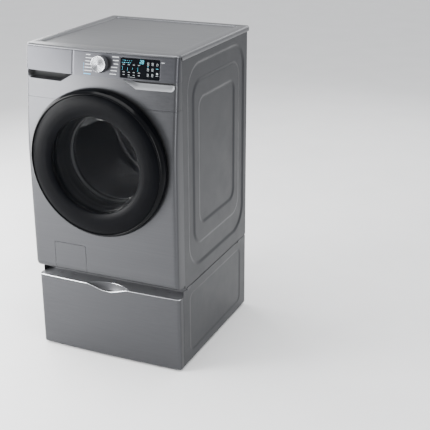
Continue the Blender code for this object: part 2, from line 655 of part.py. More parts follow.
def lifter(name, angle):
    """A drum lifter: a tapered ridge along the drum's wall, built upright and turned into place."""
    base_r, half_base, half_top = DRUM_R - 0.0045, 0.034, 0.010
    y0, y1 = DRUM_FRONT_Y + 0.040, DRUM_BACK_Y - 0.030
    sections = ((0.0, 0.020), (0.12, 0.048), (0.55, 0.062), (0.9, 0.056), (1.0, 0.030))
    bm = bmesh.new()
    rings = []
    for share, height in sections:
        y = y0 + (y1 - y0) * share
        drop = base_r - math.sqrt(base_r ** 2 - half_base ** 2)
        outline = [(-half_base, drop), (half_base, drop), (half_top, height), (-half_top, height)]
        ring = []
        for across, inward in outline:
            radius = base_r - inward
            ring.append(bm.verts.new((
                radius * math.cos(angle) - across * math.sin(angle), y,
                AXIS_Z + radius * math.sin(angle) + across * math.cos(angle),
            )))
        rings.append(ring)
    for ring, following in zip(rings, rings[1:]):
        for k in range(4):
            m = (k + 1) % 4
            bm.faces.new((ring[k], ring[m], following[m], following[k]))
    bm.faces.new(rings[0])
    bm.faces.new(rings[-1])
    return from_bmesh(bm, name, WHITE)


# ---- door -------------------------------------------------------------------------------
def door():
    clearance = 0.003
    back = FRONT - clearance
    ring = turned("door_ring", [
        (DOOR_R - 0.0095, back), (DOOR_R - 0.0095, -0.3720), (0.2965, -0.3790), (0.2900, -0.3825),
        (0.2900, -0.3945), (DOOR_FACE_R, -0.3962), (0.2975, -0.3935), (0.3035, -0.3850), (0.3072, -0.3720),
        (DOOR_R, back),
    ], BLACK)
    baked(ring)
    # The rim's back edge follows the cabinet's curved front.
    to_world = Matrix.Translation((0, 0, AXIS_Z)) @ Matrix.Rotation(math.pi / 2, 4, "X")
    for vert in ring.data.vertices:
        point = to_world @ vert.co
        if abs(point.y - back) < 0.0001:
            point.y = front_y(point.x, point.z) - clearance
            vert.co = to_world.inverted() @ point
    notch_low, notch_high = AXIS_Z - 0.062, AXIS_Z + 0.062
    cut(ring, box("rim_notch", (-0.330, -0.3765, notch_low), (-0.285, -0.340, notch_high)))

    turned("door_glass", [
        (0, -0.3815), (0.190, -0.3830), (0.202, -0.3890), (0.228, -0.3950), (0.250, -0.3965),
        (0.2895, -0.3905), (0.2895, -0.3935), (0.274, -0.3983), (0.250, DOOR_FRONT), (0.224, -0.3985),
        (0.1985, -0.3920),
        (0.188, -0.3868), (0, -0.3850),
    ], TINTED)

    frame = turned("door_inner_frame", [
        (0.2065, -0.3780), (0.2065, -0.3600), (0.2250, -0.3590), (0.2970, -0.3590), (0.2970, -0.3700),
        (0.2880, -0.3780),
    ], SHADOW)
    baked(frame)
    cut(frame, box("hinge_pocket", (-0.330, -0.390, notch_low), (-0.2450, -0.340, notch_high)))

    turned("door_bowl", [
        (0, -0.2180), (0.100, -0.2215), (0.140, -0.2330), (0.158, -0.2600), (0.180, -0.3280),
        (0.190, -0.3450), (0.2055, -0.3520), (0.2055, -0.3700), (0.1990, -0.3700), (0.1860, -0.3450),
        (0.176, -0.3280),
        (0.154, -0.2620), (0.137, -0.2370), (0.099, -0.2260), (0, -0.2225),
    ], GLASS)

    hook = box("door_hook", (0.2510, -0.3585, 0.876), (0.2590, -0.3340, 0.904), ZINC)
    cut(hook, box("hook_eye", (0.240, -0.3480, 0.884), (0.270, -0.3405, 0.896)))
    lock = box("door_lock", (0.2280, -0.3460, 0.850), (0.2840, -0.3100, 0.930), SHADOW)
    cut(lock, box("lock_mouth", (0.2450, -0.36, 0.866), (0.2650, -0.3250, 0.914)))


def hinge():
    """Knuckles and pin on the cabinet, and the door's own knuckle between them."""
    knuckle, pin, bore = 0.0055, 0.0028, 0.0033
    bracket = box("door_hinge_bracket", (-0.3000, -0.3577, 0.830), (-0.2500, -0.3557, 0.950), ZINC)
    for index, (low, high) in enumerate(((0.834, 0.864), (0.916, 0.946))):
        join(bracket, box(f"hinge_web_{index}", (-0.3035, -0.3655, low), (-0.2950, -0.3565, high)))
        centre = (HINGE.x, HINGE.y, (low + high) / 2)
        join(bracket, cylinder(f"fixed_knuckle_{index}", centre, knuckle, high - low, segments=16))
    join(bracket, cylinder("hinge_pin", (HINGE.x, HINGE.y, AXIS_Z), pin, 0.108, segments=12))

    arm = cylinder("door_hinge_arm", HINGE, knuckle, 0.050, ZINC, segments=16)
    join(arm, box("hinge_leaf", (-0.3000, -0.3720, 0.867), (-0.2454, -0.3680, 0.913)))
    cut(arm, cylinder("arm_bore", HINGE, bore, 0.08, segments=12))


# ---- controls ---------------------------------------------------------------------------
def dial_axis():
    """The middle of the dial's seat on the panel, and how far the panel leans back there."""
    rise = 0.02
    run = front_y(DIAL.x, DIAL.z + rise) - front_y(DIAL.x, DIAL.z - rise)
    return Vector((DIAL.x, front_y(DIAL.x, DIAL.z) - BAND_PROUD, DIAL.z)), math.atan(run / (2 * rise))


def controls():
    dial_place, tilt = dial_axis()
    dial = turned_about_z("dial", [
        (0, 0.0250), (0.0290, 0.0250), (0.0315, 0.0235), (0.0330, 0.0060), (0.0345, 0.0008),
        (0.0070, 0.0008), (0.0070, -0.0200), (0, -0.0200),
    ], CHROME, 24)
    dial.location = dial_place
    dial.rotation_euler = (math.pi / 2 - tilt, 0, 0)

    front_skin("detergent_drawer_front", 0, DRAWER_SPLIT - 0.0006, BAND_ROWS,
               True, False, PANEL, proud=BAND_PROUD, thickness=0.004, faces=5)

    x0, x1, z0, z1 = -0.327, -0.118, 1.2440, 1.3180
    wall = 0.002
    housing = box("detergent_housing", (x0, -0.3080, z0), (x1, -0.0600, z1), WHITE)
    cut(housing, box("housing_inside", (x0 + wall, -0.40, z0 + wall), (x1 - wall, -0.0620, z1 - wall)))

    tx0, tx1, tz0, tz1 = x0 + 0.0035, x1 - 0.0035, z0 + 0.0035, 1.2960
    ty0, ty1 = -0.3165, -0.0800
    tray = box("detergent_tray", (tx0, ty0, tz0), (tx1, ty1, tz1), WHITE)
    rib = 0.0018
    thirds = [tx0 + (tx1 - tx0) * share for share in (0.0, 0.40, 0.70, 1.0)]
    for index, (a, b) in enumerate(zip(thirds, thirds[1:])):
        cut(tray, box(f"tray_bay_{index}", (a + rib, ty0 + rib, tz0 + rib), (b - rib, ty1 - rib, tz1 + 0.1)))
    cup_low, cup_high = thirds[2] + rib + 0.001, thirds[3] - rib - 0.001
    cy0, cy1, cz0, skin_t = ty0 + 0.010, ty0 + 0.150, tz0 + 0.006, 0.0015
    cup = box("softener_cup", (cup_low, cy0, cz0), (cup_high, cy1, tz1 + 0.004), TUB)
    inside_low = (cup_low + skin_t, cy0 + skin_t, cz0 + skin_t)
    cut(cup, box("cup_inside", inside_low, (cup_high - skin_t, cy1 - skin_t, tz1 + 0.1)))


# ---- moving pieces ----------------------------------------------------------------------
def carry(name, place, members, parent=None):
    """An empty on a joint's axis, which carries the pieces that move with the joint."""
    axis = bpy.data.objects.new(name, None)
    axis.empty_display_size = 0.05
    parts.objects.link(axis)
    axis.location = place
    bpy.context.view_layer.update()
    for member in members:
        obj = parts.objects[member]
        obj.parent = axis
        obj.matrix_parent_inverse = axis.matrix_world.inverted()
    if parent:
        axis.parent = parent
        axis.matrix_parent_inverse = parent.matrix_world.inverted()
    return axis


def joints():
    tub_slide = carry("tub_slide", (0, 0, AXIS_Z), [
        "tub_front", "tub_rear", "counterweight_upper", "counterweight_lower", "motor_stator", "drum_bearing",
        "damper_rod_left", "damper_rod_right",
    ])
    carry("drum_axis", (0, 0, AXIS_Z), [
        "drum_basket", "drum_spider", "drum_lifter_1", "drum_lifter_2", "drum_lifter_3", "motor_rotor",
    ], tub_slide)
    carry("door_axis", HINGE, [
        "door_ring", "door_glass", "door_inner_frame", "door_bowl", "door_hook", "door_hinge_arm",
    ])
    carry("detergent_drawer_slide", (-0.222, -0.320, BAND_LOW), [
        "detergent_drawer_front", "detergent_tray", "softener_cup",
    ])
    carry("dial_axis", dial_axis()[0], ["dial"])
    carry("filter_door_axis", (FILTER_AXIS.x, -0.3472, 0.3915), ["filter_door"])
    carry("drain_filter_axis", FILTER_AXIS, ["drain_filter"])
    drawer_members = ["pedestal_drawer_front", "pedestal_drawer_box"]
    carry("pedestal_drawer_slide", (0, PED_FRONT, SHELF / 2), drawer_members)
    for row, y in FEET_Y.items():
        for column, sign in (("left", -1), ("right", 1)):
            carry(f"foot_{row}_{column}_axis", (sign * FEET_X, y, 0), [f"pedestal_foot_{row}_{column}"])


clear_scene()
pedestal()
pedestal_drawer()
cabinet()
lid()
services()
suspension_springs()
tub()
drum()
door()
hinge()
controls()
joints()
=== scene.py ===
import json
import math

import bmesh
import bpy
from mathutils import Matrix, Vector


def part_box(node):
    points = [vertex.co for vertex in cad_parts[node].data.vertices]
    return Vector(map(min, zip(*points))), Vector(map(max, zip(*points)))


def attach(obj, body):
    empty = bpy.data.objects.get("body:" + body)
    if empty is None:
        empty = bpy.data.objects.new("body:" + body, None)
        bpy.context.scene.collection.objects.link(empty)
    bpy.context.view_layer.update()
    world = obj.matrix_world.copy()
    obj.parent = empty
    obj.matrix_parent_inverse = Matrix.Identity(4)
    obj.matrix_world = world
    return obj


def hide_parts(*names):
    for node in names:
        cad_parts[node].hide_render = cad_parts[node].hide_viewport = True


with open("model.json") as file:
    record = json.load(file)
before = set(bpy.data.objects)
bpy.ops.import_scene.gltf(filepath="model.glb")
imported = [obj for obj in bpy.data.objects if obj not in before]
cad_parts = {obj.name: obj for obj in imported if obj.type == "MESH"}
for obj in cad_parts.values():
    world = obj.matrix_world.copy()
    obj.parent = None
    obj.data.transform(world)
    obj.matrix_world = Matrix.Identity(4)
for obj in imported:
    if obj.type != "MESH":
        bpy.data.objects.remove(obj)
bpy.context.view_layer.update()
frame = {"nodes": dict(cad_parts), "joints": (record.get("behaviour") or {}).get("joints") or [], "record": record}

# ---- the washer's front, as in the CAD ---------------------------------------------------
HALF, TOP, FRONT = 0.341, 1.343, -0.355
LEAN_FROM, LEAN, BOW, BOW_FROM, BOW_TO = 0.760, 0.030, 0.016, 0.900, 1.200
CORNER, WRAP_Y, TUCK, LOW_EDGE, CURL_TOP = 0.016, -0.2873, 0.030, 0.383, 0.410
HALF_SEAM, SHEET, CLEAR = 0.0004, 0.002, 0.003
SEAM, BAND_LOW, BAND_TOP, RECESS_LOW = 1.133, 1.2405, 1.3340, 1.2070
BAND_PROUD, DRAWER_SPLIT = 0.002, -0.112
RECESS_IN, SLANT_END, RECESS_OUT, RECESS_ROUND = 0.115, 0.168, 0.328, 0.016
PED_FRONT, PED_BOW, PED_HALF = -0.345, 0.0075, 0.339
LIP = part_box("pedestal_drawer_front")[1].z

ring_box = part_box("door_ring")
AXIS_Z = (ring_box[0].z + ring_box[1].z) / 2
DOOR_R = (ring_box[1].z - ring_box[0].z) / 2
MOUTH_R = 0.212

dial_joint = next(j for j in frame["joints"] if j["name"] == "dial_turn")
DIAL = Vector(dial_joint["pos_m"])
DIAL_AXIS = Vector(dial_joint["axis"]).normalized()
ROOT = "cabinet"
FORWARD, BACKWARD = (0, -1, 0), (0, 1, 0)


def front_y(x, z):
    """The washer's front surface: upright below, leaning back and bowed above."""
    share = max(0.0, (z - LEAN_FROM) / (TOP - LEAN_FROM))
    grown = min(1.0, max(0.0, (z - BOW_FROM) / (BOW_TO - BOW_FROM)))
    y = FRONT + LEAN * share ** 4 + BOW * grown ** 2 * (3 - 2 * grown) * (x / HALF) ** 2
    below = CURL_TOP - z
    if below > 0:
        y += TUCK - math.sqrt(max(0.0, TUCK ** 2 - below ** 2))
    return y


def pedestal_y(x):
    return PED_FRONT + PED_BOW * (x / HALF) ** 2


# ---- materials ---------------------------------------------------------------------------
class Nodes:
    """A small helper for building one material's node tree."""

    def __init__(self, name, roughness, metallic=0.0, **settings):
        self.material = bpy.data.materials.new(name)
        self.material.use_nodes = True
        self.tree = self.material.node_tree
        self.shader = self.tree.nodes["Principled BSDF"]
        self.shader.inputs["Roughness"].default_value = roughness
        self.shader.inputs["Metallic"].default_value = metallic
        for socket, value in settings.items():
            self.shader.inputs[socket.replace("_", " ")].default_value = value
        self.place = self.new("ShaderNodeTexCoord").outputs["Object"]

    def new(self, kind, **properties):
        node = self.tree.nodes.new(kind)
        for key, value in properties.items():
            setattr(node, key, value)
        return node

    def link(self, source, target):
        self.tree.links.new(source, target)

    def stretched(self, scale):
        """The object's own coordinates in metres, multiplied along each axis."""
        node = self.new("ShaderNodeMapping")
        node.inputs["Scale"].default_value = scale
        self.link(self.place, node.inputs["Vector"])
        return node.outputs["Vector"]

    def noise(self, scale, detail=3.0, roughness=0.55):
        node = self.new("ShaderNodeTexNoise")
        node.inputs["Scale"].default_value = 1.0
        node.inputs["Detail"].default_value = detail
        node.inputs["Roughness"].default_value = roughness
        self.link(self.stretched(scale), node.inputs["Vector"])
        return node.outputs["Fac"]

    def ramp(self, factor, stops):
        node = self.new("ShaderNodeValToRGB")
        elements = node.color_ramp.elements
        while len(elements) < len(stops):
            elements.new(0.5)
        for element, (position, colour) in zip(elements, stops):
            element.position = position
            element.color = (*colour, 1.0)
        self.link(factor, node.inputs["Fac"])
        return node.outputs["Color"]

    def between(self, factor, low, high, from_low=0.3, from_high=0.7):
        """Spreads a factor over the values from low to high."""
        node = self.new("ShaderNodeMapRange")
        limits = {"From Min": from_low, "From Max": from_high, "To Min": low, "To Max": high}
        for key, value in limits.items():
            node.inputs[key].default_value = value
        self.link(factor, node.inputs["Value"])
        return node.outputs["Result"]

    def math(self, operation, *values):
        """One math node, its inputs either numbers or other nodes' outputs."""
        node = self.new("ShaderNodeMath", operation=operation)
        for value, socket in zip(values, node.inputs):
            if isinstance(value, float):
                socket.default_value = value
            else:
                self.link(value, socket)
        return node.outputs[0]

    def colour(self, source):
        self.link(source, self.shader.inputs["Base Color"])

    def roughness(self, source):
        self.link(source, self.shader.inputs["Roughness"])

    def bump(self, height, distance, strength=1.0):
        node = self.new("ShaderNodeBump")
        node.inputs["Distance"].default_value = distance
        node.inputs["Strength"].default_value = strength
        self.link(height, node.inputs["Height"])
        self.link(node.outputs["Normal"], self.shader.inputs["Normal"])


def shade(colour, factor):
    return tuple(min(1.0, c * factor) for c in colour)


def brushed(name, colour, rough=0.34, grain="X", contrast=0.10, lines=900.0):
    """Brushed metal: fine lines along one axis, with slow uneven patches between them."""
    along = 5.0
    scale = {"X": (along, lines, lines), "Y": (lines, along, lines)}[grain]
    m = Nodes(name, rough, 1.0)
    fine = m.noise(scale, 4.0, 0.7)
    broad = m.noise(tuple(s * 0.3 for s in scale), 3.0)
    grain_height = m.math("MULTIPLY_ADD", fine, 0.62, m.math("MULTIPLY", broad, 0.38))
    tints = [(0.34, shade(colour, 1 - contrast)), (0.66, shade(colour, 1 + contrast))]
    m.colour(m.ramp(grain_height, tints))
    m.roughness(m.between(grain_height, rough - 0.06, rough + 0.10))
    m.bump(grain_height, 0.00006, 0.6)
    return m.material


def skinned(name, colour, rough, tone, tints, grain, wear, metallic=0.0, **settings):
    """A surface whose tone changes slowly over a fine grain; wear is the spread of its roughness."""
    m = Nodes(name, rough, metallic, **settings)
    tone_scale, tone_detail = tone
    grain_scale, grain_detail, height, strength = grain
    slow = m.noise((tone_scale,) * 3, tone_detail)
    fine = m.noise((grain_scale,) * 3, grain_detail)
    m.colour(m.ramp(slow, [(0.3, shade(colour, tints[0])), (0.7, shade(colour, tints[1]))]))
    follows, smoother, rougher = wear
    m.roughness(m.between(slow if follows == "tone" else fine, rough - smoother, rough + rougher))
    m.bump(fine, height, strength)
    return m.material


def painted(name, colour, rough=0.4, metallic=0.0, shine=0.5):
    """Sprayed or moulded surface with a faint orange peel."""
    return skinned(name, colour, rough, (9.0, 4.0), (0.95, 1.05), (900.0, 2.0, 0.00008, 0.35),
                   ("tone", 0.04, 0.05), metallic, Specular_IOR_Level=shine)


def moulded(name, colour, rough=0.5):
    """Moulded plastic with a fine spark-eroded grain."""
    return skinned(name, colour, rough, (14.0, 3.0), (0.94, 1.06), (1600.0, 2.0, 0.00006, 0.5),
                   ("grain", 0.07, 0.07))


def gloss(name, colour, rough=0.07, shine=0.5):
    """Lacquered black plastic: slightly uneven, and only as shiny as its dark coat."""
    return skinned(name, colour, rough, (20.0, 3.0), (0.8, 1.25), (160.0, 2.0, 0.00002, 0.2),
                   ("tone", 0.02, 0.03), Specular_IOR_Level=shine)


def rubbery(name, colour, rough=0.62):
    """Rubber with open pores and a faint sheen."""
    return skinned(name, colour, rough, (25.0, 4.0), (0.85, 1.15), (1200.0, 3.0, 0.0001, 0.5),
                   ("grain", 0.08, 0.08), Sheen_Weight=0.15)


def clear(name, colour, alpha, rough=0.03, shine=0.5):
    """Glass or clear plastic seen through by its alpha, with a faint film of dust."""
    m = Nodes(name, rough, 0.0, Specular_IOR_Level=shine, Alpha=alpha)
    film = m.noise((30.0,) * 3, 4.0)
    m.colour(m.ramp(film, [(0.3, shade(colour, 0.85)), (0.7, shade(colour, 1.1))]))
    m.roughness(m.between(film, rough, rough + 0.04))
    return m.material


def cast(name, colour, rough=0.8, metallic=0.0):
    """Cast or sintered material with a coarse granular skin."""
    m = Nodes(name, rough, metallic)
    grains = m.noise((320.0,) * 3, 6.0, 0.7)
    m.colour(m.ramp(grains, [(0.35, shade(colour, 0.75)), (0.65, shade(colour, 1.2))]))
    m.roughness(m.between(grains, rough - 0.1, rough + 0.1))
    m.bump(grains, 0.0005, 0.6)
    return m.material


def galvanised(name, colour, rough=0.38):
    """Zinc-coated steel, with its crystal spangle."""
    m = Nodes(name, rough, 1.0)
    crystals = m.new("ShaderNodeTexVoronoi")
    crystals.inputs["Scale"].default_value = 110.0
    m.link(m.place, crystals.inputs["Vector"])
    flat_tone = m.new("ShaderNodeSeparateColor")
    m.link(crystals.outputs["Color"], flat_tone.inputs["Color"])
    m.colour(m.ramp(flat_tone.outputs["Red"], [(0.0, shade(colour, 0.86)), (1.0, shade(colour, 1.1))]))
    m.roughness(m.between(flat_tone.outputs["Green"], rough - 0.08, rough + 0.08, 0.0, 1.0))
    return m.material


def wound(name, colour):
    """Enamelled copper wire laid side by side."""
    m = Nodes(name, 0.35, 0.9)
    turns = m.new("ShaderNodeTexWave", wave_type="RINGS", rings_direction="Y")
    turns.inputs["Scale"].default_value = 260.0
    turns.inputs["Distortion"].default_value = 0.6
    m.link(m.place, turns.inputs["Vector"])
    m.colour(m.ramp(turns.outputs["Fac"], [(0.1, shade(colour, 0.35)), (0.6, colour)]))
    m.bump(turns.outputs["Fac"], 0.0004, 0.8)
    return m.material


def lathe_metal_painted_glint(name, colour, centre, rough=0.2):
    """Metal turned on a lathe, with painted highlights: light and dark rays are painted into its colour round its
    axis from the centre.
    """
    m = Nodes(name, rough, 1.0)
    moved = m.new("ShaderNodeVectorMath", operation="SUBTRACT")
    m.link(m.place, moved.inputs[0])
    moved.inputs[1].default_value = centre
    parts = m.new("ShaderNodeSeparateXYZ")
    m.link(moved.outputs[0], parts.inputs[0])
    angle = m.math("ARCTAN2", parts.outputs["Z"], parts.outputs["X"])
    # two bright and two dark sectors round the axis: painted highlights in the colour
    glint_rays = m.math("SINE", m.math("MULTIPLY", angle, 2.0))
    fine = m.new("ShaderNodeTexNoise", noise_dimensions="1D")
    fine.inputs["Scale"].default_value = 9.0
    fine.inputs["Detail"].default_value = 2.0
    m.link(angle, fine.inputs["W"])
    total = m.math("MULTIPLY_ADD", glint_rays, -0.34, m.between(fine.outputs["Fac"], 0.46, 0.54))
    m.colour(m.ramp(total, [(0.2, shade(colour, 0.30)), (0.8, shade(colour, 1.25))]))
    m.roughness(m.between(fine.outputs["Fac"], rough - 0.03, rough + 0.05))
    return m.material


def lit(name, colour, strength):
    """A printed or lit mark: its colour glows a little unevenly; on printed marks this glow is painted light."""
    m = Nodes(name, 0.5)
    tone = m.noise((260.0,) * 3, 2.0)
    source = m.ramp(tone, [(0.3, shade(colour, 0.8)), (0.7, colour)])
    m.colour(source)
    m.link(source, m.shader.inputs["Emission Color"])
    m.shader.inputs["Emission Strength"].default_value = strength
    return m.material


PLATINUM = (0.066, 0.067, 0.071)
LOOKS = {
    "brushed_platinum": brushed("brushed_platinum_grain", PLATINUM),
    "painted_grey": painted("cabinet_paint", (0.100, 0.102, 0.109), 0.42, 0.35),
    "panel_grey": brushed("panel_bluish_grain", (0.062, 0.063, 0.069), 0.36, "X", 0.05),
    "dark_grey_plastic": moulded("dark_moulding", (0.030, 0.031, 0.035), 0.5),
    "dark_ledge": painted("ledge_paint", (0.125, 0.127, 0.134), 0.42, 0.4),
    "gloss_black": gloss("door_lacquer", (0.0012, 0.0014, 0.0020), 0.14, 0.08),
    "display_black": gloss("display_lacquer", (0.002, 0.0024, 0.0036), 0.2, 0.06),
    "tinted_cover": gloss("cover_lacquer", (0.0003, 0.0005, 0.0012), 0.34, 0.055),
    "clear_glass": clear("bowl_glass", (0.02, 0.023, 0.028), 0.08, 0.08, 0.06),
    # the dial's colour carries painted highlights
    "dial_metal": lathe_metal_painted_glint("dial_painted_glint", (0.62, 0.63, 0.66), DIAL),
    "stainless": brushed("drum_stainless", (0.46, 0.46, 0.47), 0.30, "Y", 0.04, 1800.0),
    "zinc_steel": galvanised("galvanised_sheet", (0.52, 0.53, 0.54)),
    "cast_aluminium": cast("cast_aluminium_skin", (0.48, 0.48, 0.49), 0.5, 0.9),
    "grey_rubber": rubbery("bellows_rubber", (0.085, 0.088, 0.094)),
    "tub_plastic": moulded("filled_tub_plastic", (0.42, 0.43, 0.44), 0.6),
    "white_plastic": moulded("white_moulding", (0.62, 0.63, 0.64), 0.45),
    "cast_weight": cast("cast_weight_skin", (0.12, 0.12, 0.125)),
    "stator_windings": wound("enamelled_copper", (0.55, 0.20, 0.07)),
    # a darker copy of the cabinet paint: painted shade for the sides that face away from the light
    "side_paint_painted_shade": painted("side_panel_paint_painted_shade", (0.030, 0.031, 0.034), 0.38, 0.3, 0.2),
    "lid_metal": brushed("lid_grain", (0.122, 0.124, 0.131), 0.36, "X", 0.08, 700.0),
    "window": clear("window_glass", (0.0004, 0.0006, 0.001), 0.46, 0.08, 0.03),
    "lifter": moulded("lifter_plastic", (0.30, 0.31, 0.32), 0.42),
    # printed labels and the display's white print glow although they are print: painted glow
    "print_light_painted_glow": lit("printed_light_grey_painted_glow", (0.62, 0.64, 0.66), 0.15),
    "print_blue_painted_glow": lit("printed_blue_painted_glow", (0.05, 0.42, 0.72), 0.3),
    "lit_cyan": lit("lit_cyan", (0.06, 0.42, 0.55), 0.7),
    "white_print_painted_glow": lit("white_print_painted_glow", (0.34, 0.36, 0.38), 0.25),
    # a light copy of the brushed metal for thin rods on rounded edges: painted highlight lines
    "painted_highlight_edge": brushed("lip_painted_highlight_grain", (0.60, 0.61, 0.63), 0.24, "X", 0.05),
    # a much lighter copy of the front's brushed metal: painted light where light from above falls into the right
    # recess
    "scoop_painted_light": painted("scoop_painted_lit_silver", (0.46, 0.47, 0.49), 0.3, 0.35),
    # near-black sheets in the upper part of the finger recesses: painted shade under the panel's edge
    "scoop_painted_shade": moulded("scoop_shadow", (0.004, 0.0042, 0.005), 0.6),
    "hinge_coat": painted("hinge_dark_coat", (0.016, 0.0165, 0.018), 0.4, 0.3, 0.3),
    "screw": brushed("screw_zinc", (0.45, 0.45, 0.46), 0.3, "X", 0.08, 1200.0),
}

for entry in frame["record"]["subparts"]:
    node = frame["nodes"][entry["node"]]
    on_hinge = entry["node"].startswith("door_hinge")
    look = LOOKS["hinge_coat" if on_hinge else entry["material_slot"]]
    if not node.material_slots:
        node.data.materials.append(look)
    for material_slot in node.material_slots:
        material_slot.material = look


# ---- modelling helpers -------------------------------------------------------------------
def piece(mesh, name, slot, *nodes, body=ROOT, look=None, sharp=35):
    """A finished piece: smooth shaded, with its material (its own look, or else the look of its slot), its body,
    and the nodes it stands for hidden.
    """
    obj = scratch(mesh, name)
    mesh.name = name
    mesh.materials.clear()
    mesh.materials.append(LOOKS[look or slot])
    mesh.shade_smooth()
    mesh.set_sharp_from_angle(angle=math.radians(sharp))
    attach(obj, body)
    if nodes:
        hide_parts(*nodes)


def mesh_from(bm):
    mesh = bpy.data.meshes.new("shape")
    bm.to_mesh(mesh)
    bm.free()
    return mesh


def closed(bm):
    """The mesh of a closed shape, with all its faces turned outwards."""
    bmesh.ops.recalc_face_normals(bm, faces=bm.faces)
    return mesh_from(bm)


def scratch(mesh, name="helper"):
    """A new object in the scene. A helper only lends its shape, and applied() removes it."""
    obj = bpy.data.objects.new(name, mesh)
    bpy.context.scene.collection.objects.link(obj)
    return obj


def exact(obj, other, operation="DIFFERENCE"):
    """Cuts another helper out of this one, or keeps what they share."""
    modifier = obj.modifiers.new("exact", "BOOLEAN")
    modifier.operation, modifier.object, modifier.solver = operation, other, "EXACT"


def thicken(obj, thickness, even=True, offset=-1):
    """Gives an open sheet its thickness, behind its face or in front of it."""
    modifier = obj.modifiers.new("thick", "SOLIDIFY")
    modifier.thickness, modifier.offset, modifier.use_even_offset = thickness, offset, even


def applied(obj, *helpers):
    """The evaluated mesh of a helper object, which is then removed with its own helpers."""
    bpy.context.view_layer.update()
    graph = bpy.context.evaluated_depsgraph_get()
    mesh = bpy.data.meshes.new_from_object(obj.evaluated_get(graph))
    for item in (obj, *helpers):
        bpy.data.objects.remove(item, do_unlink=True)
    return mesh


def grid(rows, facing):
    """An open sheet through rows of points, with its faces towards one side."""
    bm = bmesh.new()
    lines = [[bm.verts.new(point) for point in row] for row in rows]
    for low, high in zip(lines, lines[1:]):
        for a, b, c, d in zip(low, low[1:], high[1:], high):
            bm.faces.new((a, b, c, d))
    bm.normal_update()
    total = sum((face.normal * face.calc_area() for face in bm.faces), Vector())
    if total.dot(Vector(facing)) < 0:
        bmesh.ops.reverse_faces(bm, faces=bm.faces)
    return scratch(mesh_from(bm))


def sheet(rows, facing, thickness, cuts=(), edge=0.0):
    """A closed sheet of metal or plastic, thickened behind its face and cut by outlines."""
    obj = grid(rows, facing)
    thicken(obj, thickness)
    for cutter in cuts:
        exact(obj, cutter)
    if edge:
        rim = obj.modifiers.new("edge", "BEVEL")
        rim.width, rim.segments, rim.limit_method, rim.angle_limit = edge, 2, "ANGLE", math.radians(50)
    return applied(obj, *cuts)


def trimmed(rows, facing, thickness, outline, low, high, even=False):
    """A sheet of which only the part inside an outline is kept, from y low to high."""
    obj = grid(rows, facing)
    thicken(obj, thickness, even)
    keep = block(outline, low, high)
    exact(obj, keep, "INTERSECT")
    return applied(obj, keep)


def join_rings(bm, rings, closed=False):
    """Faces between rings of verts, one after the other. A ring of a single vert is a tip."""
    for first, second in zip(rings, rings[1:] + rings[:1] if closed else rings[1:]):
        count = max(len(first), len(second))
        for i in range(count):
            k = (i + 1) % count
            corners = (first[i % len(first)], first[k % len(first)], second[k % len(second)],
                       second[i % len(second)])
            bm.faces.new(list(dict.fromkeys(corners)))


def cap_ends(bm, rings):
    """Closes the first and the last ring with one face each."""
    bm.faces.new(rings[0][::-1])
    bm.faces.new(rings[-1])


def prism(outline, low, high, axis="Y"):
    """A closed block with a flat outline: (x, z) along Y, (y, z) along X."""
    place = {"Y": lambda a, b, t: (a, t, b), "X": lambda a, b, t: (t, a, b)}[axis]
    bm = bmesh.new()
    face = bm.faces.new([bm.verts.new(place(a, b, low)) for a, b in outline])
    grown = bmesh.ops.extrude_face_region(bm, geom=[face])
    moved = [item for item in grown["geom"] if isinstance(item, bmesh.types.BMVert)]
    bmesh.ops.translate(bm, verts=moved, vec=Vector(place(0, 0, high - low)))
    return closed(bm)


def block(outline, low, high):
    """A helper that cuts or keeps what lies inside an outline, from y low to high."""
    return scratch(prism(outline, low, high))


def arc(cx, cy, radius, start, end, steps):
    angles = [math.radians(start + (end - start) * i / steps) for i in range(steps + 1)]
    return [(cx + radius * math.cos(a), cy + radius * math.sin(a)) for a in angles]


def rounded_rect(low_a, high_a, low_b, high_b, radius, steps=8):
    return (
        arc(high_a - radius, high_b - radius, radius, 0, 90, steps)
        + arc(low_a + radius, high_b - radius, radius, 90, 180, steps)
        + arc(low_a + radius, low_b + radius, radius, 180, 270, steps)
        + arc(high_a - radius, low_b + radius, radius, 270, 360, steps)
    )


def eased(points, passes=2, share=0.22, closed=True):
    """Rounds a profile's corners by cutting each of them off, again and again."""
    for _ in range(passes):
        following = points[1:] + points[:1] if closed else points[1:]
        cut_points = []
        for a, b in zip(points, following):
            cut_points.append(tuple(p + (q - p) * share for p, q in zip(a, b)))
            cut_points.append(tuple(q + (p - q) * share for p, q in zip(a, b)))
        if closed:
            points = cut_points
        else:
            points = [points[0], *cut_points[1:-1], points[-1]]
    return points


def turned(bm, profile, steps, at):
    """Turns (radius, height) points about an axis; at(radius, angle, height) gives each place."""
    rings = []
    for radius, height in profile:
        angles = [2 * math.pi * i / steps for i in range(steps if radius else 1)]
        rings.append([bm.verts.new(at(radius, angle, height)) for angle in angles])
    join_rings(bm, rings, closed=profile[0][0] > 0)
    return rings


def turned_ring(profile, steps, wave=lambda radius, angle: 0.0):
    """Turns (radius, y) points about the drum's axis. A profile that starts at radius 0 is a disc."""
    def at(radius, angle, y):
        return radius * math.cos(angle), y + wave(radius, angle), AXIS_Z + radius * math.sin(angle)
    bm = bmesh.new()
    turned(bm, profile, steps, at)
    return bm


def revolve(profile, steps, *wave):
    """The mesh of a piece turned about the drum's axis."""
    return closed(turned_ring(profile, steps, *wave))


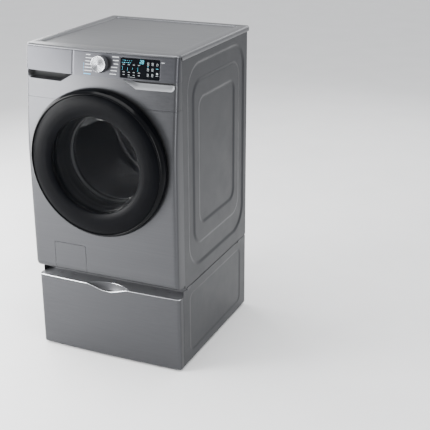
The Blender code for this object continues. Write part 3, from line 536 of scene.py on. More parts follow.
def front_points(z, x_from, x_to, wrap_left, wrap_right, proud=0.0, columns=64, bend=8):
    """Points across the washer's front at one height, with its side returns and round corners."""
    left = -HALF + CORNER if wrap_left else x_from
    right = HALF - CORNER if wrap_right else x_to
    points = []
    for sign, wrap in ((-1, wrap_left), (1, wrap_right)):
        if not wrap:
            continue
        centre = Vector((sign * (HALF - CORNER), front_y(HALF - CORNER, z) - proud + CORNER))
        side = [(sign * HALF, WRAP_Y, z), (sign * HALF, (WRAP_Y + centre.y) / 2, z)]
        for i in range(bend):
            a = math.radians(90 - 90 * i / bend)
            side.append((centre.x + sign * CORNER * math.sin(a), centre.y - CORNER * math.cos(a), z))
        if sign < 0:
            points = side
        else:
            tail = side[::-1]
    for i in range(columns + 1):
        x = left + (right - left) * i / columns
        points.append((x, front_y(x, z) - proud, z))
    return points + tail if wrap_right else points


def heights(low, high, count):
    return [low + (high - low) * i / count for i in range(count + 1)]


# ---- washer cabinet: front sheets ----------------------------------------------------------
def front_sheets():
    """The two sheets of the washer's front, which meet at the seam, and the drain filter's flap."""
    flap_low, flap_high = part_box("filter_door")
    curl, flap_gap = CURL_TOP - LOW_EDGE, 0.0016
    low_rows = [LOW_EDGE + curl * (1 - math.cos(math.radians(90 * i / 8))) for i in range(9)]
    levels = low_rows + heights(CURL_TOP, SEAM - HALF_SEAM, 60)[1:]
    flap_hole = rounded_rect(flap_low.x - flap_gap, flap_high.x + flap_gap,
                             flap_low.z - flap_gap, flap_high.z + flap_gap, 0.008)
    cuts = [
        block(arc(0, AXIS_Z, MOUTH_R, 0, 360, 160)[:-1], -0.40, -0.32),
        block(flap_hole, -0.37, -0.32),
        block(rounded_rect(0.243, 0.267, 0.862, 0.918, 0.003), -0.37, -0.33),
    ]
    rows = [front_points(z, 0, 0, True, True) for z in levels]
    piece(sheet(rows, FORWARD, SHEET, cuts), "front_sheet_lower", "brushed_platinum", "front_panel_lower")

    levels = heights(SEAM + HALF_SEAM, BAND_LOW - 0.0006, 16)
    cuts = [block(recess_outline(sign), -0.37, -0.29) for sign in (-1, 1)]
    rows = [front_points(z, 0, 0, True, True) for z in levels]
    piece(sheet(rows, FORWARD, SHEET, cuts), "front_sheet_upper", "brushed_platinum", "front_panel_upper")

    outline = rounded_rect(flap_low.x, flap_high.x, flap_low.z, flap_high.z, 0.007)
    levels = low_rows[2:] + heights(CURL_TOP, flap_high.z, 10)[1:]
    levels = [flap_low.z] + [z for z in levels if z > flap_low.z + 0.0005]
    rows = [[(x, front_y(x, z), z) for x in heights(flap_low.x, flap_high.x, 16)] for z in levels]
    mesh = trimmed(rows, FORWARD, 0.0022, outline, -0.37, -0.32, True)
    piece(mesh, "filter_flap", "brushed_platinum", "filter_door", body="filter_door")


def recess_outline(sign):
    """A finger recess seen from the front: slanted at its inner end, round at its outer low corner."""
    points = [(RECESS_IN, BAND_LOW + 0.01), (RECESS_IN, BAND_LOW - 0.002), (SLANT_END, RECESS_LOW)]
    points.append((RECESS_OUT - RECESS_ROUND, RECESS_LOW))
    points += arc(RECESS_OUT - RECESS_ROUND, RECESS_LOW + RECESS_ROUND, RECESS_ROUND, -90, 0, 10)[1:]
    points.append((RECESS_OUT, BAND_LOW + 0.01))
    return [(sign * x, z) for x, z in points]


def recess_floor(x):
    """Height of a recess's lower edge at one distance from the middle."""
    if x < SLANT_END:
        slope = (RECESS_LOW - BAND_LOW + 0.002) / (SLANT_END - RECESS_IN)
        return BAND_LOW - 0.002 + slope * (x - RECESS_IN)
    past = x - (RECESS_OUT - RECESS_ROUND)
    if past > 0:
        return RECESS_LOW + RECESS_ROUND - math.sqrt(max(0.0, RECESS_ROUND ** 2 - past ** 2))
    return RECESS_LOW


def recess_scoops():
    """The concave liners of the two finger recesses: flush at their lower edge, deep at the top. Their upper parts
    are near-black sheets of painted shade, and the right one's lower part is a lighter copy of the metal, painted
    light.
    """
    inner, outer, columns, steps = RECESS_IN + 0.0015, RECESS_OUT - 0.0002, 56, 14
    flush, deepest, at_ends = 0.0003, 0.0262, 0.12

    def scoop(sign, low_share, high_share):
        rows = []
        for share in heights(low_share, high_share, steps):
            row = []
            for x in heights(inner, outer, columns):
                floor, ceiling = recess_floor(x) + 0.0003, BAND_LOW - 0.0012
                z = floor + (ceiling - floor) * share
                taper = step(min((x - inner) / 0.022, (outer - x) / 0.016) - 0.5, 1.0)
                depth = flush + deepest * (at_ends + (1 - at_ends) * taper) * (1 - (1 - share) ** 2.4)
                row.append((sign * x, front_y(x, z) + depth, z))
            rows.append(row)
        return sheet(rows, (0, -1, 0.5), 0.0010)
    lip_share, shade_share = 0.30, 0.60
    piece(scoop(-1, 0.0, lip_share), "finger_scoop_left_lip", "brushed_platinum")
    # the near-black upper parts of both scoops (this line and the last one) are painted shade under the panel's
    # edge
    piece(scoop(-1, lip_share, 1.0), "finger_scoop_left", "dark_grey_plastic", look="scoop_painted_shade")
    # the lower part of the right scoop is lighter than the front metal: painted light
    piece(scoop(1, 0.0, shade_share), "finger_scoop_right", "brushed_platinum", look="scoop_painted_light")
    piece(scoop(1, shade_share, 1.0), "finger_scoop_right_shade", "dark_grey_plastic", look="scoop_painted_shade")


def rod(points, radius, sides=8):
    """A round rod along points, closed at both ends."""
    bm = bmesh.new()
    rings = []
    for index, point in enumerate(points):
        ahead = Vector(points[min(index + 1, len(points) - 1)]) - Vector(points[max(index - 1, 0)])
        turn = ahead.to_track_quat("Z", "Y")
        circle = arc(0, 0, radius, 0, 360, sides)[:-1]
        rings.append([bm.verts.new(Vector(point) + turn @ Vector((a, b, 0))) for a, b in circle])
    join_rings(bm, rings)
    cap_ends(bm, rings)
    return closed(bm)


# ---- control band ------------------------------------------------------------------------
def control_band():
    """The control panel, the drawer's front beside it, and what lies on them."""
    half_gap, edge = 0.0006, 0.0005
    levels = [BAND_LOW, BAND_LOW + 0.0015] + heights(BAND_LOW + 0.003, BAND_TOP, 18)
    rows = [front_points(z, DRAWER_SPLIT + half_gap, 0, False, True, BAND_PROUD, 48) for z in levels]
    cuts = [
        block(arc(DIAL.x, DIAL.z, 0.008, 0, 360, 32)[:-1], -0.36, -0.28),
        block(rounded_rect(0.1025, 0.2685, 1.2470, 1.3240, 0.003), -0.36, -0.28),
    ]
    piece(sheet(rows, FORWARD, 0.003, cuts, edge), "control_fascia", "panel_grey", "control_panel")

    rows = [front_points(z, 0, DRAWER_SPLIT - half_gap, True, False, BAND_PROUD, 32) for z in levels]
    piece(sheet(rows, FORWARD, 0.004, (), edge), "drawer_fascia", "panel_grey", "detergent_drawer_front",
          body="detergent_drawer")

    low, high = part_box("display_glass")
    rows = [[(x, front_y(x, z) - 0.0026, z) for x in heights(low.x - 0.001, high.x + 0.001, 24)]
            for z in heights(low.z - 0.001, high.z + 0.001, 12)]
    mesh = trimmed(rows, FORWARD, 0.004, rounded_rect(low.x, high.x, low.z, high.z, 0.003), -0.36, -0.28)
    piece(mesh, "display_cover", "display_black", "display_glass")
    marks()
    dial()


def mark(bm, x, z, width, height, proud, skew=0.0):
    """One thin printed bar with cut corners, lying on the control panel."""
    c = min(width, height) * 0.3
    w, h = width / 2, height / 2
    outline = [(-w + c, -h), (w - c, -h), (w, -h + c), (w, h - c)]
    outline += [(w - c, h), (-w + c, h), (-w, h - c), (-w, -h + c)]
    levels = []
    for lift in (proud - 0.00012, proud):
        ring = []
        for dx, dz in outline:
            px, pz = x + dx + skew * dz, z + dz
            ring.append(bm.verts.new((px, front_y(px, pz) - lift, pz)))
        levels.append(ring)
    join_rings(bm, levels)
    cap_ends(bm, levels)


def marks_piece(name, bars, look, slot, proud):
    """One piece of printed or lit bars."""
    bm = bmesh.new()
    for bar in bars:
        mark(bm, *bar[:4], proud, *bar[4:])
    piece(closed(bm), name, slot, look=look)


def digit_bars(segments, x, z, size):
    """The lit bars of one digit, each named by its letter a to g."""
    half, wide, thin, slant = size / 2, size * 0.42, size * 0.13, 0.12
    side = wide / 2 + thin / 3
    places = {
        "a": (0, half, wide, thin), "g": (0, 0, wide, thin), "d": (0, -half, wide, thin),
        "f": (-side, half / 2, thin, wide), "b": (side, half / 2, thin, wide),
        "e": (-side, -half / 2, thin, wide), "c": (side, -half / 2, thin, wide),
    }
    return [(x + places[s][0], z + places[s][1], *places[s][2:], slant) for s in segments]


def marks():
    """Label strips beside the dial, and the display's lit and printed marks; the labels and the printed marks glow
    with painted light. None is a letter.
    """
    label_proud, glass_proud = BAND_PROUD + 0.0001, 0.0027
    label_z, left_pitch, right_pitch = 1.3225, 0.0122, 0.0131
    left_ends = [(-0.0680, -0.0480), (-0.0690, -0.0390), (-0.0700, -0.0480),
                 (-0.0710, -0.0400), (-0.0725, -0.0400), (-0.0740, -0.0390)]
    right_ends = [(0.0490, 0.0770), (0.0520, 0.0765), (0.0560, 0.0755),
                  (0.0450, 0.0720), (0.0430, 0.0700), (0.0390, 0.0680)]
    bars = []
    for ends, pitch in ((left_ends, left_pitch), (right_ends, right_pitch)):
        for i, (start, end) in enumerate(ends):
            bars.append((DIAL.x + (start + end) / 2, label_z - pitch * i, end - start, 0.0023))
    bars.append((0.2790, 1.3140, 0.0130, 0.0016))
    # the printed dial labels glow: painted light
    marks_piece("dial_labels", bars, "print_light_painted_glow", "panel_grey", label_proud)
    accents = [(DIAL.x - 0.0765 - 0.0008 * i, 1.2860 - left_pitch * i, 0.0009, 0.0090) for i in range(3)]
    accents.append((DIAL.x - 0.0610, label_z - left_pitch * 6, 0.0330, 0.0026))
    marks_piece("dial_accents", accents, "print_blue_painted_glow", "panel_grey", label_proud)

    left, top, column_pitch = 0.1035, 1.3230, 0.0215
    right_column, digit_z, digit_size = 0.2570, 1.3115, 0.0125
    cyan = digit_bars("abdeg", 0.1880, digit_z, digit_size)
    cyan += digit_bars("abcdefg", 0.1965, digit_z, digit_size)
    for i in range(5):
        cyan.append((left + 0.010 + 0.0090 * i, top - 0.0095, 0.0030, 0.0010 + 0.0022 * (i == 1)))
        cyan.append((left + 0.008 + 0.0080 * i, top - 0.0175, 0.0052, 0.0010 + 0.0010 * (i % 2)))
    for i in range(4):
        x = left + 0.008 + column_pitch * i
        cyan.append((x, 1.2845 - 0.0022 * (i % 2), 0.0007, 0.0150 - 0.0045 * (i % 3)))
    cyan += [(0.2190, 1.2965, 0.0050, 0.0012), (right_column, 1.2900, 0.0090, 0.0014)]
    marks_piece("display_lit_marks", cyan, "lit_cyan", "display_black", glass_proud)

    white = []
    for i in range(4):
        x = left + column_pitch * i
        white.append((x + 0.013, 1.2985, 0.0085, 0.0016))
        white.append((x + 0.014, 1.2700, 0.0090, 0.0016))
        white.append((x + 0.014, 1.2600, 0.0080, 0.0018))
    for row, z in enumerate((1.3080, 1.2870, 1.2665)):
        for column, x in enumerate((0.2190, 0.2375)):
            white += [(x, z + 0.0028, 0.0060, 0.0010), (x, z - 0.0028, 0.0060, 0.0010)]
            white += [(x - 0.0030, z, 0.0010, 0.0052), (x + 0.0030, z, 0.0010, 0.0052)]
            white.append((x, z - 0.0062, 0.0085, 0.0010))
            if (row + column) % 2:
                white.append((x, z, 0.0030, 0.0009))
    white += [(right_column, 1.2720, 0.0080, 0.0066), (right_column, 1.2635, 0.0110, 0.0011)]
    for a in (math.radians(30 * k) for k in range(-1, 10) if k != 3):
        white.append((right_column + 0.0036 * math.cos(a), 1.3050 + 0.0036 * math.sin(a), 0.0014, 0.0014))
    white.append((right_column, 1.3088, 0.0008, 0.0040))
    white.append((0.1500, 1.2525, 0.0300, 0.0008))
    # the display's white print glows: painted light
    marks_piece("display_print", white, "white_print_painted_glow", "display_black", glass_proud)


def dial():
    """The programme dial: a chrome cap with a dished face on a dark ribbed skirt."""
    turn = DIAL_AXIS.to_track_quat("Z", "Y").to_matrix().to_4x4()
    place = Matrix.Translation(DIAL) @ turn
    steps, ribs, rib_depth = 144, 36, 0.00035

    def smooth(radius, angle, height):
        return place @ Vector((radius * math.cos(angle), radius * math.sin(angle), height))

    def ribbed(radius, angle, height):
        if radius and 0.004 < height < 0.020:
            radius -= rib_depth * (0.5 + 0.5 * math.cos(angle * ribs))
        return smooth(radius, angle, height)

    def turned_cap(name, profile, at, *nodes, look=None):
        bm = bmesh.new()
        turned(bm, profile, steps, at)
        piece(closed(bm), name, "dial_metal", *nodes, body="dial", look=look)

    cap = [(0, 0.0243), (0.0150, 0.0242), (0.0288, 0.0245), (0.0302, 0.0249), (0.0316, 0.0238),
           (0.0319, 0.0205), (0.0305, 0.0203), (0, 0.0203)]
    turned_cap("dial_cap", eased(cap, 2, 0.22, False), smooth)
    skirt = [(0, 0.0200), (0.0312, 0.0200), (0.0325, 0.0170), (0.0330, 0.0060), (0.0342, 0.0010),
             (0.0070, 0.0010), (0.0070, -0.0195), (0, -0.0195)]
    turned_cap("dial_skirt", eased(skirt, 2, 0.15, False), ribbed, "dial", look="dark_grey_plastic")


# ---- lid, sides, rear --------------------------------------------------------------------
def lid():
    """The lid as one closed shell: a rim over the sides and back, a rolled edge, and a soft recess."""
    low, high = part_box("lid")
    half, back, rim, under = high.x, high.y, low.z, BAND_TOP + 0.0008
    rim_from, roll = WRAP_Y + 0.0011, 0.0075

    def loop(reach, front, rear, front_radius, rear_radius, height):
        """One outline of the lid from above, lifted to the height that belongs to each y."""
        cx, rx = reach - front_radius, reach - rear_radius
        start, end = front(cx) + front_radius, rear - rear_radius
        if start < rim_from - 0.001:
            side = [rim_from - 0.0002, rim_from + 0.0002]
        else:
            side = heights(start, start + 0.02, 3)[1:3]
        side += heights(side[-1], end, 22)[1:-1]
        points = [(x, front(x)) for x in heights(-cx, cx, 56)]
        points += arc(cx, start, front_radius, -90, 0, 10)[1:] + [(reach, y) for y in side]
        points += arc(rx, end, rear_radius, 0, 90, 8) + [(x, rear) for x in heights(rx, -rx, 30)[1:-1]]
        points += arc(-rx, end, rear_radius, 90, 180, 8) + [(-reach, y) for y in reversed(side)]
        points += arc(-cx, start, front_radius, 180, 270, 10)[:-1]
        return [(x, y, height(y)) for x, y in points]

    def inner(height):
        return loop(HALF + 0.0005, lambda x: front_y(x, TOP) - 0.0015, 0.396, 0.0205, 0.0085, height)

    def outer(inset, height):
        return loop(half - inset, lambda x: front_y(x, TOP) - 0.003 + inset, back - inset, 0.022 - inset,
                    0.0125 - inset, height)

    def recess(grow, run, drop):
        return loop(0.298 + grow, lambda x: -0.262 - run + 0.008 * (x / HALF) ** 2, 0.360 + grow,
                    0.014, 0.014, lambda y: TOP - drop)

    def lower(y):
        return under if y < rim_from else rim
    loops = [inner(lambda y: under), inner(lower), outer(0.0004, lower)]
    loops.append(outer(0.0, lambda y: lower(y) + 0.0004))
    for angle in range(0, 91, 10):
        inset, drop = roll * (1 - math.cos(math.radians(angle))), roll * (1 - math.sin(math.radians(angle)))
        loops.append(outer(inset, lambda y, drop=drop: TOP - drop))
    for grow, run, drop in ((0.0022, 0.016, 0.0), (0.0014, 0.012, 0.0004), (0.0008, 0.006, 0.0014),
                            (0.0, 0.0, 0.0028), (-0.0006, -0.008, 0.0038), (-0.0020, -0.014, 0.0042)):
        loops.append(recess(grow, run, drop))
    bm = bmesh.new()
    rings = [[bm.verts.new(point) for point in points] for points in loops]
    join_rings(bm, rings)
    cap_ends(bm, rings)
    bmesh.ops.remove_doubles(bm, verts=bm.verts, dist=0.00001)
    piece(closed(bm), "lid_top", "brushed_platinum", "lid", look="lid_metal", sharp=50)


def inside_rounded(y, z, low_y, high_y, low_z, high_z, radius):
    """Signed distance into a rounded rectangle: positive inside."""
    cy, cz = (low_y + high_y) / 2, (low_z + high_z) / 2
    dy = abs(y - cy) - (high_y - low_y) / 2 + radius
    dz = abs(z - cz) - (high_z - low_z) / 2 + radius
    outside = math.hypot(max(dy, 0.0), max(dz, 0.0)) + min(max(dy, dz), 0.0)
    return radius - outside


def step(distance, width):
    """Rises smoothly from 0 to 1 across a width that is centred on distance 0."""
    t = min(1.0, max(0.0, distance / width + 0.5))
    return t * t * (3 - 2 * t)


def embossed_side(sign, x_face, low, high, counts, rings, thickness):
    """A side sheet with nested pressed shapes: each ring steps in or out by its own depth."""
    rows = []
    for z in heights(low.z, high.z, counts[1]):
        row = []
        for y in heights(low.y, high.y, counts[0]):
            depth = sum(d * step(inside_rounded(y, z, *shape), width) for shape, d, width in rings)
            row.append((sign * (x_face - depth), y, z))
        rows.append(row)
    return sheet(rows, (sign, 0, 0), thickness)


SIDE_RINGS = [
    ((-0.235, 0.335, 0.430, 1.285, 0.110), 0.0048, 0.013),
    ((-0.185, 0.285, 0.520, 1.215, 0.070), -0.0036, 0.013),
    ((-0.130, 0.230, 0.600, 1.140, 0.045), 0.0040, 0.013),
]


def sides():
    """The two side sheets, and the small ledges inside them that carry the springs."""
    for name, sign in (("left", -1), ("right", 1)):
        node = f"side_panel_{name}"
        mesh = embossed_side(sign, HALF, *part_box(node), (150, 220), SIDE_RINGS, SHEET)
        # the side sheets get the darker copy of the cabinet paint: painted shade
        piece(mesh, f"side_sheet_{name}", "painted_grey", node, look="side_paint_painted_shade", sharp=60)
        ledge = rounded_rect(0.010, 0.050, 1.276, 1.280, 0.0015, 3)
        inner, outer = sorted((sign * 0.300, sign * (HALF - 0.0065)))
        mesh = prism(ledge, inner, outer, "X")
        piece(mesh, f"spring_ledge_{name}", "painted_grey", look="zinc_steel")


def screws(name, places, axis, radius=0.0045):
    """Pan-head screws with a cross slot, one solid each, in one piece."""
    whole = bmesh.new()
    turn = Vector(axis).to_track_quat("Z", "Y").to_matrix().to_4x4()
    profile = [(0, 0.0016), (0.35, 0.0016), (0.75, 0.0012), (1.0, 0.0003), (1.0, 0.0)]
    steps, slot_depth = 20, 0.0007

    for place in places:
        to = Matrix.Translation(Vector(place)) @ turn

        def at(share, angle, height):
            """A point of the head, lower where an arm of the cross slot runs."""
            quarter = angle / (math.pi / 2)
            if share < 0.5 and math.isclose(quarter, round(quarter)):
                height -= slot_depth
            return to @ Vector((share * radius * math.cos(angle), share * radius * math.sin(angle), height))
        rings = turned(whole, profile, steps, at)
        whole.faces.new(rings[-1][::-1])
    piece(closed(whole), name, "zinc_steel", look="screw")


def rear():
    """The rear sheet with pressed ribs, its dished access cover, and the screws of both."""
    def rib(distance, half_width):
        """Height share of a rib with a round top, at one distance from its middle line."""
        return max(0.0, 1 - (distance / half_width) ** 2)

    low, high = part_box("rear_panel")
    rib_depth, rib_half, rib_end = 0.0022, 0.009, 0.02
    rows = []
    for z in heights(low.z, high.z, 190):
        row = []
        for x in heights(low.x, high.x, 140):
            pressed = 0.0
            for centre in (0.520, 0.560, 1.180, 1.290):
                pressed += step(0.250 - abs(x), rib_end) * rib(z - centre, rib_half)
            for side in (-0.245, 0.245):
                pressed += step(min(z - 0.640, 1.100 - z), rib_end) * rib(x - side, rib_half)
            row.append((x, high.y - rib_depth * min(1.0, pressed), z))
        rows.append(row)
    window = block(rounded_rect(-0.170, 0.170, 0.640, 1.100, 0.012), 0.30, 0.40)
    mesh = sheet(rows, BACKWARD, 0.0016, [window])
    piece(mesh, "rear_sheet", "zinc_steel", "rear_panel", sharp=50)

    low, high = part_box("rear_access_cover")
    flange, dish_depth, bead_height = 0.0022, 0.0028, 0.0018
    rows = []
    for z in heights(low.z, high.z, 120):
        row = []
        for x in heights(low.x, high.x, 90):
            edge = inside_rounded(x, z, low.x, high.x, low.z, high.z, 0.012)
            raised = flange * step(edge - 0.008, 0.010)
            dish = dish_depth * step(inside_rounded(x, z, -0.150, 0.150, 0.680, 1.060, 0.060), 0.012)
            bead = bead_height * rib(math.hypot(x, z - AXIS_Z) - 0.110, 0.007)
            row.append((x, high.y - flange + raised - dish + bead, z))
        rows.append(row)
    outline = rounded_rect(low.x, high.x, low.z, high.z, 0.010)
    mesh = trimmed(rows, BACKWARD, 0.0014, outline, 0.35, 0.40)
    piece(mesh, "rear_cover_pressed", "painted_grey", "rear_access_cover", sharp=50)
    on_cover, on_sheet = high.y - 0.0008, 0.3703
    places = [(sx * 0.181, on_cover, z) for sx in (-1, 1) for z in (0.629, 0.780, 0.960, 1.111)]
    places += [(sx * 0.328, on_sheet, z) for sx in (-1, 1) for z in (0.420, 0.650, 0.880, 1.110, 1.305)]
    places += [(x, on_sheet, 0.415) for x in (-0.20, 0.0, 0.20)]
    screws("rear_screws", places, BACKWARD)


# ---- door --------------------------------------------------------------------------------
def hinge_slot(inner, front, rear):
    """A helper that clears the hinge arm's way, on the left edge of the door."""
    reach, half = -0.330, 0.062
    low, high = AXIS_Z - half, AXIS_Z + half
    return block([(reach, low), (inner, low), (inner, high), (reach, high)], front, rear)


def notched(bm, slot):
    """A turned ring without what lies inside the hinge's slot."""
    obj = scratch(closed(bm))
    exact(obj, slot)
    return applied(obj, slot)


def door():
    """The door: glossy rim, tinted cover band, window, back frame and glass bowl."""
    back, bend_from = FRONT - CLEAR, -0.372
    rim = eased([
        (DOOR_R - 0.0095, back), (DOOR_R - 0.0095, bend_from), (0.2965, -0.3790), (0.2900, -0.3825),
        (0.2900, -0.3945), (0.2925, -0.3966), (0.2975, -0.3942), (0.3040, -0.3855), (0.3074, bend_from),
        (DOOR_R, back),
    ], 3, 0.2)
    bm = turned_ring(rim, 180)
    for vert in bm.verts:
        share = min(1.0, max(0.0, (vert.co.y - bend_from) / (back - bend_from)))
        vert.co.y += share * (front_y(vert.co.x, vert.co.z) - FRONT)
    mesh = notched(bm, hinge_slot(-0.285, -0.3765, -0.340))
    piece(mesh, "door_rim", "gloss_black", "door_ring", body="door")

    split_r = 0.2015
    cover = eased([
        (split_r, -0.3886), (0.2120, -0.3922), (0.228, -0.3950), (0.250, -0.3965), (0.2893, -0.3905),
        (0.2893, -0.3935), (0.2800, -0.3970), (0.2660, -0.3993), (0.2480, -0.4000), (0.2260, -0.3990),
        (0.2120, -0.3966), (split_r, -0.3930),
    ], 3, 0.2)
    piece(revolve(cover, 180), "door_cover_band", "tinted_cover", body="door")
    window = [(0, -0.3815), (0.100, -0.3818), (0.190, -0.3830), (0.1965, -0.3852), (0.2013, -0.3890),
              (0.2013, -0.3928), (0.1950, -0.3893), (0.188, -0.3868), (0.100, -0.3853), (0, -0.3850)]
    mesh = revolve(eased(window, 2, 0.2, False), 180)
    piece(mesh, "door_window", "tinted_cover", "door_glass", body="door", look="window")

    back_frame = eased([
        (0.2065, -0.3780), (0.2065, -0.3600), (0.2250, -0.3590), (0.2970, -0.3590), (0.2970, -0.3700),
        (0.2880, -0.3780),
    ], 3, 0.15)
    mesh = notched(turned_ring(back_frame, 160), hinge_slot(-0.2450, -0.390, -0.340))
    piece(mesh, "door_back_frame", "dark_grey_plastic", "door_inner_frame", body="door")

    outer = [(0, -0.2180), (0.060, -0.2190), (0.100, -0.2215), (0.140, -0.2330), (0.158, -0.2600),
             (0.180, -0.3280), (0.190, -0.3450), (0.2055, -0.3520), (0.2055, -0.3700)]
    inner = [(0.1990, -0.3700), (0.1960, -0.3560), (0.1860, -0.3450), (0.176, -0.3280), (0.154, -0.2620),
             (0.137, -0.2370), (0.099, -0.2260), (0.060, -0.2232), (0, -0.2225)]
    mesh = revolve(eased(outer + inner, 3, 0.25, False), 160)
    piece(mesh, "door_glass_bowl", "clear_glass", "door_bowl", body="door")


def gasket():
    """The bellows: an outer lip on the cabinet's mouth, two folds and a clamp on the tub."""
    profile = eased([
        (0.2090, -0.3520), (0.2020, -0.3480), (0.2040, -0.3400), (0.2060, -0.3350), (0.2060, -0.3250),
        (0.1955, -0.3150), (0.2070, -0.3030), (0.2070, -0.2950), (0.1960, -0.2870),
        (0.1960, -0.2650), (0.2000, -0.2650), (0.2000, -0.2840), (0.2105, -0.2920), (0.2105, -0.3060),
        (0.2000, -0.3150), (0.2100, -0.3230), (0.2100, -0.3500),
    ], 2, 0.25)
    piece(revolve(profile, 144), "bellows", "grey_rubber", "door_gasket")


# ---- drum --------------------------------------------------------------------------------
def drum():
    """The drum: its perforated wall, the back wall with its pressed rays, and the front flange."""
    low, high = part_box("drum_basket")
    radius = (high.z - low.z) / 2
    y0, y1 = low.y + 0.034, high.y - 0.026
    around, along = 108, 24
    dimple, wall, wall_r = 0.0009, 0.0009, radius - 0.0015
    cell_a, cell_y = 2 * math.pi / around, (y1 - y0) / along
    cell = ((0, 0), (0.5, 0), (1, 0), (1, 0.5), (1, 1), (0.5, 1), (0, 1), (0, 0.5))
    hole = [(0.5 + 0.15 * math.cos(math.radians(a)), 0.5 + 0.125 * math.sin(math.radians(a)))
            for a in range(225, 585, 45)]
    bm = bmesh.new()

    def corners(places, u, v, depth):
        r = wall_r - depth
        angles = [((u + du) * cell_a, y0 + (v + dv) * cell_y) for du, dv in places]
        return [bm.verts.new((r * math.cos(a), y, AXIS_Z + r * math.sin(a))) for a, y in angles]
    for j in range(along):
        for i in range(around):
            u = i + 0.5 * (j % 2)
            join_rings(bm, [corners(cell, u, j, dimple), corners(hole, u, j, 0.0)])
    bmesh.ops.remove_doubles(bm, verts=bm.verts, dist=0.00002)
    bmesh.ops.recalc_face_normals(bm, faces=bm.faces)
    middles = [(face, face.calc_center_median()) for face in bm.faces]
    if sum(face.normal.dot(middle - Vector((0, middle.y, AXIS_Z))) for face, middle in middles) < 0:
        bmesh.ops.reverse_faces(bm, faces=bm.faces)
    obj = scratch(mesh_from(bm))
    thicken(obj, wall, False, 1)
    piece(applied(obj), "drum_wall_perforated", "stainless", body="drum", sharp=60)

    def star(r, a):
        """Six shallow pressed rays on the drum's back wall."""
        reach = step(r - 0.060, 0.03) * step(0.225 - r, 0.03)
        return -0.0035 * reach * max(0.0, math.cos(3 * a)) ** 2
    back, mouth, edge_r = high.y, low.y, radius - 0.0012
    profile = [(0, back - 0.0048), (0.030, back - 0.0048), (0.045, back - 0.0040)]
    profile += [(0.060 + 0.012 * i, back - 0.0040) for i in range(15)]
    profile += [
        (radius - 0.022, back - 0.0030), (radius - 0.006, back - 0.0120), (edge_r - 0.0004, y1 - 0.0010),
        (edge_r, y1 - 0.0010), (edge_r, back - 0.0180), (radius - 0.0205, back - 0.0012),
        (0.120, back - 0.0012), (0.030, back - 0.0012), (0, back - 0.0012),
    ]
    piece(revolve(profile, 144, star), "drum_back_wall", "stainless", body="drum", sharp=50)
    lip = eased([
        (edge_r - 0.0006, y0 + 0.001), (edge_r - 0.0014, mouth + 0.024), (radius - 0.012, mouth + 0.0115),
        (0.196, mouth + 0.0022), (0.1905, mouth + 0.0065), (0.1884, mouth + 0.0065), (0.1886, mouth + 0.0006),
        (0.1960, mouth + 0.0006), (radius - 0.011, mouth + 0.0098), (edge_r, mouth + 0.026),
        (edge_r, y0 + 0.001),
    ], 2, 0.2)
    piece(revolve(lip, 144), "drum_front_flange", "stainless", "drum_basket", body="drum", sharp=50)
    for index in range(3):
        lifter(f"drum_lifter_{index + 1}", math.radians(40 + 120 * index))


def lifter(node, angle):
    """A lifter: a rounded ridge that rises from the drum's wall and dies away at both ends."""
    low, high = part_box("drum_lifter_1")
    base_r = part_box("drum_basket")[1].z - AXIS_Z - 0.0050
    sections, around, half_width = 28, 20, 0.031
    bm = bmesh.new()
    rings = []
    for t in heights(0.0, 1.0, sections):
        rise = min(1.0, max(0.0, t / 0.16)) ** 0.6 * min(1.0, max(0.0, (1 - t) / 0.10)) ** 0.5
        height = 0.002 + (0.058 - 0.010 * abs(t - 0.5)) * rise
        y = low.y + (high.y - low.y) * t
        ring = []
        for across in heights(-1.0, 1.0, around):
            w = half_width * across * (1 - 0.25 * (1 - abs(across)) ** 2)
            profile = max(0.0, 1 - abs(across) ** 2.2) ** 1.15
            r = math.sqrt(base_r ** 2 - w ** 2) - height * profile - 0.0006
            ring.append(bm.verts.new((r * math.cos(angle) - w * math.sin(angle), y,
                                      AXIS_Z + r * math.sin(angle) + w * math.cos(angle))))
        rings.append(ring)
    join_rings(bm, rings)
    cap_ends(bm, rings)
    piece(closed(bm), f"{node}_ridge", "white_plastic", node, body="drum", look="lifter", sharp=60)


# ---- pedestal ----------------------------------------------------------------------------
def swoop_outline():
    """The dip in the middle of the drawer front's upper edge, where a hand reaches behind it."""
    dip, reach = 0.0215, 0.105
    return [(reach * t, LIP - dip * (0.5 + 0.5 * math.cos(math.pi * t)) ** 0.8) for t in heights(-1, 1, 48)]


